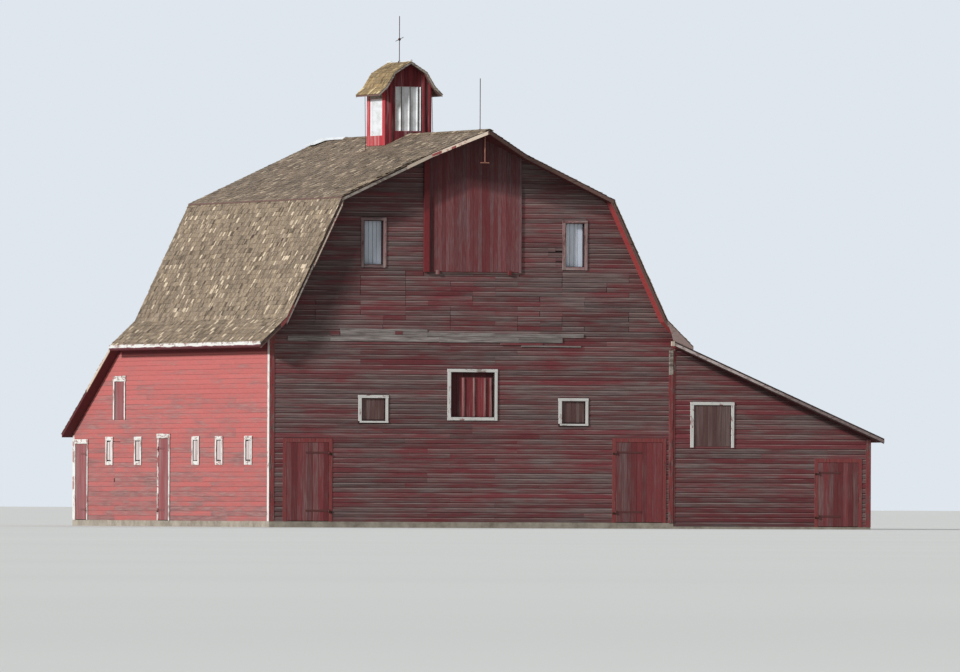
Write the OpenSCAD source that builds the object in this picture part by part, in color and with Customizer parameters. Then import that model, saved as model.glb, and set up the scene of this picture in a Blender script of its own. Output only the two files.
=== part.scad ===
// A timber barn with a gambrel roof, flared eaves, a hay hood and a roof vent,
// with one lean-to along its right side and one across its rear end.
// X runs to the right along the front gable, Y to the rear and Z up. The origin
// is under the middle of the front gable, on the bottom of the foundation.

/* [Main body] */
// Width of the front gable over its boards
barn_w = 10970; // [9900:10:12000]
// Length of the main body, from the front gable to the rear gable
barn_l = 10580; // [9600:10:11800]
// Thickness of every outer wall
wall_t = 120; // [100:5:150]
// Height of the main foundation above the lowest ground
foundation_h = 150; // [100:5:250]
// How far the foundation stands out of the walls
foundation_out = 20; // [5:5:50]
// How far the foundation reaches inside the walls
foundation_in = 40; // [10:5:80]
// Joint between neighbouring foundation strips
joint_gap = 2; // [1.5:0.5:5]

/* [Main roof] */
// Height of the ridge
ridge_z = 10100; // [9900:10:10400]
// Distance of each break in the roof inside the wall faces, measured level
break_in = 1795; // [1650:5:1950]
// Height of each break in the roof
break_z = 8390; // [8200:10:8500]
// Distance inside the wall faces at which the flared eaves begin
flare_in = 305; // [230:5:400]
// Height at which the flared eaves begin
flare_z = 5320; // [5250:10:5400]
// Overhang of the flared eaves past the wall faces
eave_out = 395; // [340:5:470]
// Height of the eave tips
eave_z = 4660; // [4600:10:4720]
// Thickness of the roof boards and shingles together
roof_t = 80; // [60:5:100]
// Clearance between a roof and the sloping ends of what meets it
slope_gap = 0.3; // [0.1:0.1:0.8]
// Overhang of the roof past the front and rear gables
rake_overhang = 390; // [300:10:450]
// How far the hay hood reaches past the front edge of the roof
hood_reach = 750; // [500:10:900]
// Half the width of the hay hood where it leaves the roof edge
hood_half_w = 1280; // [1000:10:1500]

/* [Side lean-to] */
// Width of the side lean-to over its boards
side_w = 5455; // [4900:5:6000]
// Overhang of the lean-to roof past its side wall
side_overhang = 230; // [150:10:350]
// Height of the lean-to roof at its tip
side_tip_z = 2310; // [2250:10:2450]
// Height of the lean-to foundation
side_foundation_h = 60; // [40:5:120]
// Thickness of both lean-to roofs
lean_roof_t = 70; // [60:5:90]
// Clear space between the main eave and the lean-to roof under it
eave_clear = 5; // [2:1:20]

/* [Rear lean-to] */
// Depth of the rear lean-to behind the main body
rear_depth = 4240; // [3800:10:4400]
// Overhang of the rear lean-to roof past its rear wall
rear_overhang = 150; // [100:10:250]
// Overhang of the rear lean-to roof past the side walls
rear_side_overhang = 285; // [200:5:350]
// Height of the rear lean-to roof at its tip
rear_tip_z = 2390; // [2350:10:2450]
// Rise of the rear lean-to roof for each unit of its run
rear_slope = 0.596; // [0.58:0.002:0.605]

/* [Loft] */
// Height of the loft floor's upper face
loft_z = 2650; // [2620:5:2700]
// Thickness of the loft floor boards
loft_t = 50; // [30:5:60]
// Depth of the beams under the loft floor
beam_h = 200; // [150:10:250]
// Width of beams and posts
post_w = 150; // [120:10:200]
// How far the loft floor runs on into the rear lean-to
loft_rear_run = 2120; // [1500:10:2300]
// Underside of the beam that carries the rear gable
gable_beam_z = 3950; // [3800:10:4050]

/* [Boards and trim] */
// Width of the boards round doors and windows
trim_w = 100; // [80:5:120]
// Thickness of the boards round doors and windows
trim_t = 25; // [20:1:30]
// Width of the corner boards
corner_w = 115; // [100:5:118]
// Thickness of the eave fascias and rake boards
fascia_t = 15; // [12:1:25]
// Height of the eave fascias
fascia_h = 85; // [70:5:95]
// Length that is left of the left rake board on the rear lean-to
rake_left_l = 2030; // [1500:10:2500]
// How far the barge boards reach below the undersides of the roof edges
barge_h = 25; // [20:5:60]
// Thickness of the barge boards
barge_t = 25; // [20:1:40]

/* [Ground doors] */
// Thickness of each door leaf
leaf_t = 40; // [30:1:50]
// Gap between a leaf and its frame
leaf_gap = 8; // [6:1:12]
// Gap between a leaf and the sill
sill_gap = 15; // [8:1:30]
// Middle of the left gable door, from the left corner of the gable
gable_left_in = 1020; // [900:5:1200]
// Clear width of the left gable door
gable_left_w = 1135; // [1000:5:1180]
// Height of the head of the left gable door
gable_left_z = 2155; // [2100:5:2180]
// Middle of the right gable door, from the right corner of the gable
gable_right_in = 922; // [840:1:1100]
// Clear width of the right gable door
gable_right_w = 1280; // [1100:5:1320]
// Height of the head of the right gable door
gable_right_z = 2205; // [2190:5:2250]
// Middle of the middle stable door, along the left wall
stable_mid_y = 7825; // [7700:5:7950]
// Clear width of the middle stable door
stable_mid_w = 770; // [700:5:900]
// Height of the head of the middle stable door
stable_mid_z = 2270; // [2200:5:2300]
// Clear width of the rear stable door
stable_rear_w = 860; // [760:5:900]
// Drop of the head of the rear stable door below the tip of the rear roof
stable_rear_drop = 250; // [210:5:400]
// Gap between the rear stable door's trim and the corner board
stable_rear_gap = 5; // [2:1:100]
// Middle of the lean-to door, from the outer corner of the lean-to
leanto_door_in = 882; // [800:1:1100]
// Clear width of the lean-to door
leanto_door_w = 1113; // [1000:1:1150]
// Height of the head of the lean-to door
leanto_door_z = 1715; // [1680:5:1760]

/* [Hinges] */
// Radius of the hinge pins
pin_r = 8; // [6:0.5:10]
// Running clearance round each hinge pin
pin_gap = 0.2; // [0.1:0.05:0.5]
// Outer radius of the strap eyes
eye_r = 14; // [12:0.5:16]
// Distance of the pins from the outer face of the leaves
pin_out = 18; // [17:1:22]
// Height of the straps and their eyes
strap_h = 50; // [40:5:70]
// Thickness of the straps
strap_t = 6; // [4:1:8]
// Length of each strap as a share of its leaf
strap_share = 0.55; // [0.4:0.05:0.8]
// Distance of the hinges from the top and bottom of each leaf
hinge_inset = 260; // [180:10:320]
// Clearance between each eye and the bracket that it turns on
seat_gap = 0.3; // [0.1:0.1:1]

/* [Stall windows] */
// Middles of the front stall windows, from the front gable
front_stall_ys = [1500, 3660, 5420];
// Middles of the two rear stall windows, behind the rear gable
rear_stall_ys = [-795, 1405];
// Clear width of each stall window
stall_window_w = 360; // [300:5:420]
// Height of the stall window sills
stall_window_z = 1680; // [1600:5:1720]
// Clear height of each stall window
stall_window_h = 535; // [450:5:560]

/* [Gable openings] */
// Middles of the two upper windows
upper_window_xs = [-2707, 2778];
// Sill heights of the two upper windows
upper_window_zs = [6680, 6665];
// Clear width of each upper window
upper_window_w = 495; // [400:5:560]
// Clear height of each upper window
upper_window_h = 1100; // [900:5:1200]
// Middles of the two lower gable windows
low_window_xs = [-2692, 2757];
// Sill heights of the two lower gable windows
low_window_zs = [2735, 2692];
// Clear width of each lower gable window
low_window_w = 625; // [550:5:700]
// Clear height of each lower gable window
low_window_h = 540; // [450:5:600]
// Clear width of the middle loft door
loft_door_w = 1170; // [1000:5:1300]
// Height of the sill of the middle loft door
loft_door_z = 2820; // [2760:5:2900]
// Clear height of the middle loft door
loft_door_h = 1130; // [1000:5:1200]
// Middle of the hay door, along the gable
hay_door_x = 35; // [0:5:60]
// Width of the hay door
hay_door_w = 2510; // [2200:10:2560]
// Height of the foot of the hay door
hay_door_z = 6500; // [6400:10:6700]
// Thickness of the hay door
hay_door_t = 40; // [30:1:60]
// Lap of the hay door over the edge of its opening
hay_lap = 30; // [20:5:60]
// Width of the post board beside the hay door
hay_post_w = 140; // [100:5:160]
// Distance of the side loft door's middle behind the rear gable
side_loft_back = 645; // [500:5:800]
// Clear width of the side loft door
side_loft_w = 730; // [600:5:760]
// Height of the foot of the side loft door
side_loft_z = 2760; // [2700:5:2800]
// Clear height of the side loft door
side_loft_h = 990; // [850:5:1010]
// Middle of the lean-to hatch, from the right corner of the gable
hatch_out = 1090; // [800:5:1300]
// Clear width of the lean-to hatch
hatch_w = 1016; // [900:1:1100]
// Height of the foot of the lean-to hatch
hatch_z = 2110; // [2000:5:2150]
// Clear height of the lean-to hatch
hatch_h = 1045; // [900:5:1060]
// Thickness of window boards and shutters
board_t = 25; // [18:1:35]
// How far the stall window boards lie behind the wall face
stall_set_back = 35; // [10:5:60]
// How far the upper window boards lie behind the wall face
upper_set_back = 90; // [20:5:95]
// How far the lower gable shutters lie behind the wall face
shutter_set_back = 20; // [5:5:60]
// How far the middle loft door lies behind the wall face
loft_set_back = 60; // [10:5:80]

/* [Roof vent] */
// Half the width of the roof vent
vent_half_x = 630; // [550:10:660]
// Half the length of the roof vent
vent_half_y = 640; // [550:10:680]
// Middle of the roof vent, along the ridge
vent_y = 5350; // [4500:10:6500]
// Thickness of the roof vent's walls
vent_t = 50; // [30:5:60]
// Height of the roof vent's ridge above the main ridge
vent_ridge_up = 1880; // [1800:10:2000]
// Rise of the roof vent's ridge over its breaks
vent_break_drop = 275; // [200:5:350]
// Distance of the roof vent's breaks inside its walls
vent_break_in = 186; // [150:2:240]
// Drop of the roof vent's flares under its breaks
vent_flare_drop = 365; // [320:5:400]
// Distance of the roof vent's flares outside its walls
vent_flare_out = 40; // [35:1:70]
// Drop of the roof vent's eaves under its flares
vent_eave_drop = 194; // [150:2:240]
// Overhang of the roof vent's eaves past its walls
vent_eave_out = 239; // [190:1:280]
// Thickness of the roof vent's roof
vent_roof_t = 40; // [30:2:50]
// Overhang of the roof vent's roof at its gables
vent_rake = 206; // [120:2:260]
// Opening width of the front and rear vent panels
vent_front_w = 700; // [500:10:800]
// Opening width of the side vent panels
vent_side_w = 920; // [600:10:1000]
// Height of the side panels' feet above the roof surface beside them
vent_side_up = 270; // [150:10:350]
// Height of the side panels
vent_side_h = 945; // [700:5:1000]
// Height of the front panels' feet above the main ridge
vent_front_up = 95; // [40:5:200]
// Height of the front panels
vent_front_h = 1140; // [900:10:1250]
// Thickness of the vent panels
vent_panel_t = 20; // [12:2:30]
// How far the vent panels lie behind the vent's walls
vent_set_back = 10; // [0:2:25]

/* [Ridge fittings] */
// Radius of the two roof rods
rod_r = 10; // [6:1:14]
// Height of the vent's rod above its ridge
vent_rod_h = 1190; // [800:10:1400]
// Height of the ball on the vent's rod, above the ridge under it
rod_ball_up = 590; // [400:10:700]
// Radius of the ball on the vent's rod
rod_ball_r = 36; // [25:1:50]
// Height of the front rod above the main ridge
ridge_rod_h = 1320; // [900:10:1500]
// Place of the front rod, in front of the gable
ridge_rod_out = 460; // [300:10:600]
// Radius and height of the foot of each rod
rod_foot = 34; // [24:1:50]
// Place of the hay track's end, in front of the gable
track_out = 810; // [600:10:950]
// Length of the hanger below the hood
track_drop = 730; // [500:10:800]
// Thickness of the hay track's hanger and bar
track_t = 24; // [16:2:40]
// Length of the bar at the foot of the hanger
track_bar_l = 230; // [150:10:300]
// Length of the metal ridge flashing at the rear end
flashing_l = 1570; // [1000:10:2200]
// Width of the flashing on the left slope at its rear end
flashing_rear_w = 450; // [200:10:600]
// Width of the flashing elsewhere
flashing_w = 120; // [80:10:200]
// Thickness of the ridge flashing
flashing_t = 4; // [2:1:6]

/* [Hidden] */
$fn = 32;

siding_red = "#6b3a38";
siding_rose = "#c4686a";
trim_white = "#d9d6cd";
shingle_tan = "#8d7f6c";
bare_wood = "#77665a";
door_red = "#7c2f31";
concrete = "#a49c90";
metal_white = "#dfe3e4";
dark_iron = "#2b2a2a";
// cut past a face, so that no film is left
eps = 1;

half_w = barn_w / 2;
in_x = half_w - wall_t;
break_x = half_w - break_in;
flare_x = half_w - flare_in;
eave_x = half_w + eave_out;
side_wall_x = half_w + side_w;
roof_end_y = barn_l + rake_overhang;
rear_wall_y = barn_l + rear_depth;
rear_tip_y = rear_wall_y + rear_overhang;
side_tip_x = side_wall_x + side_overhang;

// slopes of the main roof, from the ridge down
upper_m = (ridge_z - break_z) / break_x;
lower_m = (break_z - flare_z) / (flare_x - break_x);
flare_m = (flare_z - eave_z) / (eave_x - flare_x);

// upright thickness of a slab of thickness t on a slope m
function upright(t, m) = t * sqrt(1 + m * m);

upper_v = upright(roof_t, upper_m);
lower_v = upright(roof_t, lower_m);
flare_v = upright(roof_t, flare_m);

// underside corners of the main roof
under_break_x = break_x - (lower_v - upper_v) / (lower_m - upper_m);
under_break_z = break_z + (break_x - under_break_x) * upper_m - upper_v;
under_flare_x = flare_x - (flare_v - lower_v) / (flare_m - lower_m);
under_flare_z = flare_z + (flare_x - under_flare_x) * lower_m - lower_v;
under_ridge_z = ridge_z - upper_v;
under_eave_z = eave_z - flare_v;

// underside height of the flared eave at a level distance x from the ridge
function under_flare(x) = eave_z + (eave_x - x) * flare_m - flare_v;

wall_top_z = under_flare(half_w) - slope_gap;

// lean-to roof on the right: it passes just under the tip of the main eave
side_m = (under_eave_z - eave_clear - side_tip_z) / (side_tip_x - eave_x);
side_v = upright(lean_roof_t, side_m);
function side_top(x) = side_tip_z + (side_tip_x - x) * side_m;
function side_under(x) = side_top(x) - side_v;

// rear lean-to roof
rear_v = upright(lean_roof_t, rear_slope);
function rear_top(y) = rear_tip_z + (rear_tip_y - y) * rear_slope;
function rear_under(y) = rear_top(y) - rear_v;
// the side walls are level up to the main roof's rear barge board, and then follow the
// rear roof
level_end_y = roof_end_y - barge_t;
function long_wall_top(y) = y <= level_end_y ? wall_top_z : rear_under(y) - slope_gap;

// the lower front wall ends at the head of the taller gable door
door_head_z = max(gable_left_z, gable_right_z);
loft_rear_y = barn_l + loft_rear_run;
side_loft_y = barn_l + side_loft_back;
stall_window_ys = concat(front_stall_ys, [for (y = rear_stall_ys) barn_l + y]);
hatch_x = half_w + hatch_out;
// the rear stable door stands beside the rear corner board
stable_rear_y = rear_wall_y - corner_w - stable_rear_gap - trim_w - stable_rear_w / 2;

// A door is [middle, clear width, sill, head]
gable_left = [gable_left_in - half_w, gable_left_w, foundation_h, gable_left_z];
gable_right = [half_w - gable_right_in, gable_right_w, foundation_h, gable_right_z];
stable_mid = [stable_mid_y, stable_mid_w, foundation_h, stable_mid_z];
stable_rear = [stable_rear_y, stable_rear_w, foundation_h, rear_tip_z - stable_rear_drop];
leanto = [side_wall_x - leanto_door_in, leanto_door_w, side_foundation_h, leanto_door_z];
function low_edge(d) = d[0] - d[1] / 2;
function high_edge(d) = d[0] + d[1] / 2;

// a block from its lowest to its highest corner
module block(lo, hi) {
    translate(lo) cube(hi - lo);
}

// an outline in X and Z, extruded from y0 to y1
module along_y(y0, y1) {
    translate([0, y1, 0]) rotate([90, 0, 0]) linear_extrude(y1 - y0) children();
}

// an outline in Y and Z, extruded from x0 to x1
module along_x(x0, x1) {
    translate([x0, 0, 0]) rotate([90, 0, 90]) linear_extrude(x1 - x0) children();
}

// a hole through a wall that faces the front, round a middle x
module hole_front(x, w, z, h) {
    block([x - w / 2, -eps, z], [x + w / 2, wall_t + eps, z + h]);
}

// a hole through the left wall, round a middle y
module hole_left(y, w, z, h) {
    block([-half_w - eps, y - w / 2, z], [-in_x + eps, y + w / 2, z + h]);
}

// The foundation

module foundation_ends() {
    color(concrete) {
        block([-half_w - foundation_out, -foundation_out, 0],
              [half_w + foundation_out, wall_t + foundation_in, foundation_h]);
        block([half_w + foundation_out + joint_gap, -foundation_out, 0],
              [side_wall_x + foundation_out, wall_t + foundation_in, side_foundation_h]);
        block([half_w + foundation_out + joint_gap, barn_l - wall_t - foundation_in, 0],
              [side_wall_x + foundation_out, barn_l + foundation_out, side_foundation_h]);
        block([-half_w - foundation_out, rear_wall_y - wall_t - foundation_in, 0],
              [half_w + foundation_out, rear_wall_y + foundation_out, foundation_h]);
    }
}

module foundation_side(face_x, y1, h) {
    inner = face_x > 0 ? face_x - wall_t - foundation_in : face_x - foundation_out;
    outer = face_x > 0 ? face_x + foundation_out : face_x + wall_t + foundation_in;
    block([inner, wall_t + foundation_in, 0], [outer, y1, h]);
}

module foundation_sides() {
    long_end = rear_wall_y - wall_t - foundation_in;
    color(concrete) {
        foundation_side(-half_w, long_end, foundation_h);
        foundation_side(half_w, long_end, foundation_h);
        foundation_side(side_wall_x, barn_l - wall_t - foundation_in, side_foundation_h);
    }
}

// The walls

module front_wall_lower() {
    color(siding_red) {
        block([-half_w, 0, foundation_h], [low_edge(gable_left), wall_t, door_head_z]);
        block([high_edge(gable_left), 0, foundation_h],
              [low_edge(gable_right), wall_t, door_head_z]);
        block([high_edge(gable_right), 0, foundation_h], [half_w, wall_t, door_head_z]);
    }
}

// underside of the main roof from plus x over the ridge to minus x, lowered by gap
function under_roof_line(x, gap) = [
    [x, under_flare(x) - gap], [under_flare_x, under_flare_z - gap],
    [under_break_x, under_break_z - gap], [0, under_ridge_z - gap],
    [-under_break_x, under_break_z - gap], [-under_flare_x, under_flare_z - gap],
    [-x, under_flare(x) - gap]
];

// outline under the main roof, between two walls at plus and minus x
function gable_outline(x, z) = concat([[-x, z], [x, z]], under_roof_line(x, slope_gap));

module front_wall_upper() {
    hay_hole_w = hay_door_w - 2 * hay_lap;
    color(siding_red) difference() {
        along_y(0, wall_t) polygon(gable_outline(half_w, door_head_z));
        for (i = [0, 1]) {
            hole_front(upper_window_xs[i], upper_window_w, upper_window_zs[i], upper_window_h);
            hole_front(low_window_xs[i], low_window_w, low_window_zs[i], low_window_h);
        }
        hole_front(0, loft_door_w, loft_door_z, loft_door_h);
        hole_front(hay_door_x, hay_hole_w, hay_door_z + hay_lap, ridge_z);
    }
}

// outline of a stretch of a long side wall, in Y and Z
function long_outline(y0, y1, z) = concat(
    [[y0, z], [y1, z], [y1, long_wall_top(y1)]],
    y0 < level_end_y && y1 > level_end_y
        ? [[level_end_y, rear_under(level_end_y) - slope_gap], [level_end_y, wall_top_z]] : [],
    [[y0, long_wall_top(y0)]]
);

module left_wall() {
    color(siding_rose) difference() {
        along_x(-half_w, -in_x) {
            polygon(long_outline(wall_t, low_edge(stable_mid), foundation_h));
            polygon(long_outline(high_edge(stable_mid), low_edge(stable_rear), foundation_h));
            polygon(long_outline(high_edge(stable_rear), rear_wall_y - wall_t, foundation_h));
        }
        for (y = stall_window_ys)
            hole_left(y, stall_window_w, stall_window_z, stall_window_h);
        hole_left(side_loft_y, side_loft_w, side_loft_z, side_loft_h);
    }
}

module right_wall() {
    color(siding_red) along_x(in_x, half_w)
        polygon(long_outline(wall_t, rear_wall_y - wall_t, foundation_h));
}

module rear_gable_wall() {
    color(siding_red) along_y(barn_l - wall_t, barn_l)
        polygon(gable_outline(in_x, gable_beam_z + beam_h));
}

// outline of a stretch of the lean-to's front or rear wall, in X and Z
function side_outline(x0, x1, z) =
    [[x0, z], [x1, z], [x1, side_under(x1) - slope_gap], [x0, side_under(x0) - slope_gap]];

// room that the main foundation takes where the lean-to's walls meet it
module foundation_room() {
    block([half_w - eps, -eps, 0], [half_w + foundation_out, barn_l + eps, foundation_h]);
}

module leanto_front_wall() {
    color(siding_red) difference() {
        along_y(0, wall_t) {
            polygon(side_outline(half_w, low_edge(leanto), side_foundation_h));
            polygon(side_outline(high_edge(leanto), side_wall_x, side_foundation_h));
        }
        hole_front(hatch_x, hatch_w, hatch_z, hatch_h);
        foundation_room();
    }
}

module leanto_side_wall() {
    color(siding_red)
        block([side_wall_x - wall_t, wall_t, side_foundation_h],
              [side_wall_x, barn_l - wall_t, side_under(side_wall_x) - slope_gap]);
}

module leanto_rear_wall() {
    color(siding_red) difference() {
        along_y(barn_l - wall_t, barn_l)
            polygon(side_outline(half_w, side_wall_x, side_foundation_h));
        foundation_room();
    }
}

module rear_leanto_wall() {
    color(siding_red)
        block([-half_w, rear_wall_y - wall_t, foundation_h],
              [half_w, rear_wall_y, rear_under(rear_wall_y) - slope_gap]);
}

// wall over each ground door; the upper front wall closes the taller gable door
module door_lintels() {
    color(siding_red) {
        for (d = [gable_left, gable_right]) if (d[3] < door_head_z)
            block([low_edge(d), 0, d[3]], [high_edge(d), wall_t, door_head_z]);
        along_x(-half_w, -in_x) for (d = [stable_mid, stable_rear])
            polygon(long_outline(low_edge(d), high_edge(d), d[3]));
        along_y(0, wall_t)
            polygon(side_outline(low_edge(leanto), high_edge(leanto), leanto[3]));
    }
}

// The roofs

// plan of the main roof's left half with the hay hood
hood_plan = [
    [0, -rake_overhang - hood_reach], [0, roof_end_y], [-eave_x, roof_end_y],
    [-eave_x, -rake_overhang], [-hood_half_w, -rake_overhang]
];

// square well through the ridge under the roof vent
module vent_well() {
    block([-vent_half_x + vent_t, vent_y - vent_half_y + vent_t, break_z],
          [vent_half_x - vent_t, vent_y + vent_half_y - vent_t, ridge_z + eps]);
}

module upper_slab() {
    difference() {
        intersection() {
            along_y(-rake_overhang - hood_reach, roof_end_y)
                polygon([[0, ridge_z], [-break_x, break_z], [-under_break_x, under_break_z],
                         [0, under_ridge_z]]);
            translate([0, 0, under_break_z - eps])
                linear_extrude(ridge_z - under_break_z + 2 * eps) polygon(hood_plan);
        }
        vent_well();
    }
}

module lower_slab() {
    along_y(-rake_overhang, roof_end_y)
        polygon([[-break_x, break_z], [-flare_x, flare_z], [-under_flare_x, under_flare_z],
                 [-under_break_x, under_break_z]]);
}

module flare_slab() {
    along_y(-rake_overhang, roof_end_y)
        polygon([[-flare_x, flare_z], [-eave_x, eave_z], [-eave_x, under_eave_z],
                 [-under_flare_x, under_flare_z]]);
}

module roof_upper_left() { color(shingle_tan) upper_slab(); }
module roof_upper_right() { color(shingle_tan) mirror([1, 0, 0]) upper_slab(); }
module roof_lower_left() { color(shingle_tan) lower_slab(); }
module roof_lower_right() { color(shingle_tan) mirror([1, 0, 0]) lower_slab(); }
module roof_flares() { color(shingle_tan) for (side = [0, 1]) mirror([side, 0, 0]) flare_slab(); }

module leanto_roof() {
    color(shingle_tan) along_y(-rake_overhang, roof_end_y)
        polygon([[half_w, side_under(half_w)], [side_tip_x, side_under(side_tip_x)],
                 [side_tip_x, side_tip_z], [half_w, side_top(half_w)]]);
}

// room that the end of the main roof takes over the rear lean-to's roof
module main_roof_room() {
    along_y(barn_l - eps, roof_end_y)
        polygon(concat([[-eave_x, ridge_z], [eave_x, ridge_z]],
                       under_roof_line(eave_x, slope_gap)));
}

module rear_leanto_roof() {
    rear_x = half_w + rear_side_overhang;
    color(shingle_tan) difference() {
        along_x(-rear_x, rear_x)
            polygon([[barn_l, rear_under(barn_l)], [rear_tip_y, rear_under(rear_tip_y)],
                     [rear_tip_y, rear_tip_z], [barn_l, rear_top(barn_l)]]);
        for (side = [0, 1]) mirror([side, 0, 0])
            block([in_x, barn_l - eps, rear_tip_z], [rear_x + eps, roof_end_y, ridge_z]);
        main_roof_room();
    }
}

module ridge_flashing() {
    y0 = roof_end_y - flashing_l;
    left_w = flashing_rear_w;
    under = ridge_z + slope_gap;
    color(metal_white) intersection() {
        along_y(y0, roof_end_y)
            polygon([[0, under], [-left_w, under - left_w * upper_m],
                     [-left_w, under - left_w * upper_m + flashing_t],
                     [0, under + flashing_t],
                     [flashing_w, under - flashing_w * upper_m + flashing_t],
                     [flashing_w, under - flashing_w * upper_m]]);
        translate([0, 0, break_z]) linear_extrude(ridge_z)
            polygon([[-flashing_w, y0], [flashing_w, y0], [flashing_w, roof_end_y],
                     [-left_w, roof_end_y]]);
    }
}

// The boards along the roof edges

// band of board under the main roof, in X and Z: its upper edge and back along its lower
barge_foot = under_roof_line(eave_x, slope_gap + barge_h);
barge_band = concat(under_roof_line(eave_x, slope_gap),
                    [for (i = [len(barge_foot) - 1:-1:0]) barge_foot[i]]);

// plan of the front barge boards, which follow the hood
hood_run = sqrt(hood_half_w * hood_half_w + hood_reach * hood_reach);
barge_back_x = hood_half_w - barge_t * (hood_run - hood_half_w) / hood_reach;
barge_plan = [
    [-eave_x, -rake_overhang], [-hood_half_w, -rake_overhang],
    [0, -rake_overhang - hood_reach], [hood_half_w, -rake_overhang],
    [eave_x, -rake_overhang], [eave_x, -rake_overhang + barge_t],
    [barge_back_x, -rake_overhang + barge_t],
    [0, -rake_overhang - hood_reach + barge_t * hood_run / hood_half_w],
    [-barge_back_x, -rake_overhang + barge_t], [-eave_x, -rake_overhang + barge_t]
];

// room that the side lean-to roof takes, with a small clearance over it
module side_roof_room() {
    along_y(-rake_overhang - eps, roof_end_y + eps)
        polygon([[half_w - eps, 0], [eave_x + eps, 0], [eave_x + eps, side_top(eave_x) + eps],
                 [half_w - eps, side_top(half_w) + eps]]);
}

module barge_boards() {
    color(bare_wood) difference() {
        union() {
            intersection() {
                along_y(-rake_overhang - hood_reach, 0) polygon(barge_band);
                linear_extrude(ridge_z) polygon(barge_plan);
            }
            along_y(roof_end_y - barge_t, roof_end_y) polygon(barge_band);
        }
        side_roof_room();
    }
    side_x = half_w + fascia_t;
    color(bare_wood) for (y = [-rake_overhang, roof_end_y - barge_t])
        along_y(y, y + barge_t)
            polygon([[side_x, side_under(side_x) - slope_gap],
                     [side_tip_x, side_under(side_tip_x) - slope_gap],
                     [side_tip_x, side_under(side_tip_x) - slope_gap - barge_h],
                     [side_x, side_under(side_x) - slope_gap - barge_h]]);
    // rake boards of the rear lean-to: the lower half of the left one is lost
    rear_x = half_w + rear_side_overhang;
    color(trim_white) {
        rake_board(-rear_x - fascia_t, -rear_x, roof_end_y, roof_end_y + rake_left_l);
        rake_board(rear_x, rear_x + fascia_t, roof_end_y, rear_tip_y);
    }
}

module rake_board(x0, x1, y0, y1) {
    along_x(x0, x1)
        polygon([[y0, rear_top(y0)], [y1, rear_top(y1)], [y1, rear_top(y1) - fascia_h],
                 [y0, rear_top(y0) - fascia_h]]);
}

module eave_fascias() {
    color(trim_white) for (side = [0, 1]) mirror([side, 0, 0])
        block([-eave_x - fascia_t, -rake_overhang, eave_z - fascia_h],
              [-eave_x, roof_end_y, eave_z]);
    color(bare_wood)
        block([side_tip_x, -rake_overhang, side_tip_z - side_v],
              [side_tip_x + fascia_t, roof_end_y, side_tip_z]);
    rear_x = half_w + rear_side_overhang;
    color(trim_white)
        block([-rear_x, rear_tip_y, rear_tip_z - rear_v],
              [rear_x, rear_tip_y + fascia_t, rear_tip_z]);
}

// The boards on the walls

// an upright corner board with a leg on each of two walls
module corner_board(sx, sy, x, y, z0, z1) {
    translate([x, y, 0]) mirror([sx < 0 ? 1 : 0, 0, 0]) mirror([0, sy < 0 ? 1 : 0, 0]) {
        block([-corner_w, 0, z0], [trim_t, trim_t, z1]);
        block([0, -corner_w, z0], [trim_t, trim_t, z1]);
    }
}

module corner_boards() {
    color(trim_white) {
        corner_board(-1, -1, -half_w, 0, foundation_h, wall_top_z - trim_t);
        corner_board(-1, 1, -half_w, rear_wall_y, foundation_h,
                     rear_under(rear_wall_y) - trim_t);
    }
    color(siding_red) {
        corner_board(1, 1, half_w, rear_wall_y, foundation_h,
                     rear_under(rear_wall_y) - trim_t);
        corner_board(1, -1, side_wall_x, 0, side_foundation_h,
                     side_under(side_wall_x) - trim_t);
        corner_board(1, 1, side_wall_x, barn_l, side_foundation_h,
                     side_under(side_wall_x) - trim_t);
        block([half_w - corner_w / 2, -trim_t, foundation_h],
              [half_w + corner_w / 2, 0, side_under(half_w + corner_w / 2) - slope_gap]);
    }
}

// boards round a hole, on the face of a front wall
module trim_front(x, w, z, h, sill) {
    difference() {
        block([x - w / 2 - trim_w, -trim_t, sill ? z - trim_w : z],
              [x + w / 2 + trim_w, 0, z + h + trim_w]);
        block([x - w / 2, -trim_t - eps, z - (sill ? 0 : eps)], [x + w / 2, eps, z + h]);
    }
}

// the same boards on the face of the left wall
module trim_left(y, w, z, h, sill) {
    translate([-half_w, 0, 0]) rotate([0, 0, -90]) trim_front(-y, w, z, h, sill);
}

module door_trim_front(d) { trim_front(d[0], d[1], d[2], d[3] - d[2], false); }
module door_trim_left(d) { trim_left(d[0], d[1], d[2], d[3] - d[2], false); }

module door_trims() {
    color(door_red) {
        door_trim_front(gable_left);
        door_trim_front(gable_right);
        door_trim_front(leanto);
    }
    color(trim_white) {
        door_trim_left(stable_mid);
        door_trim_left(stable_rear);
    }
}

module window_trims() {
    color(trim_white) {
        for (y = stall_window_ys)
            trim_left(y, stall_window_w, stall_window_z, stall_window_h, true);
        trim_left(side_loft_y, side_loft_w, side_loft_z, side_loft_h, false);
        for (i = [0, 1])
            trim_front(low_window_xs[i], low_window_w, low_window_zs[i], low_window_h, true);
        trim_front(0, loft_door_w, loft_door_z, loft_door_h, true);
        trim_front(hatch_x, hatch_w, hatch_z, hatch_h, false);
    }
    color(door_red) {
        for (i = [0, 1])
            trim_front(upper_window_xs[i], upper_window_w, upper_window_zs[i],
                       upper_window_h, true);
        post_x = hay_door_x - hay_door_w / 2;
        top = under_ridge_z - slope_gap + post_x * upper_m;
        along_y(-hay_door_t - trim_t, 0)
            polygon([[post_x - hay_post_w, hay_door_z], [post_x, hay_door_z],
                     [post_x, top], [post_x - hay_post_w, top - hay_post_w * upper_m]]);
    }
}

// a board panel in a hole of a front wall
module panel_front(x, w, z, h, back) {
    block([x - w / 2, back, z], [x + w / 2, back + board_t, z + h]);
}

// a board panel in a hole of the left wall
module panel_left(y, w, z, h, back) {
    block([-half_w + back, y - w / 2, z], [-half_w + back + board_t, y + w / 2, z + h]);
}

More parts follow.
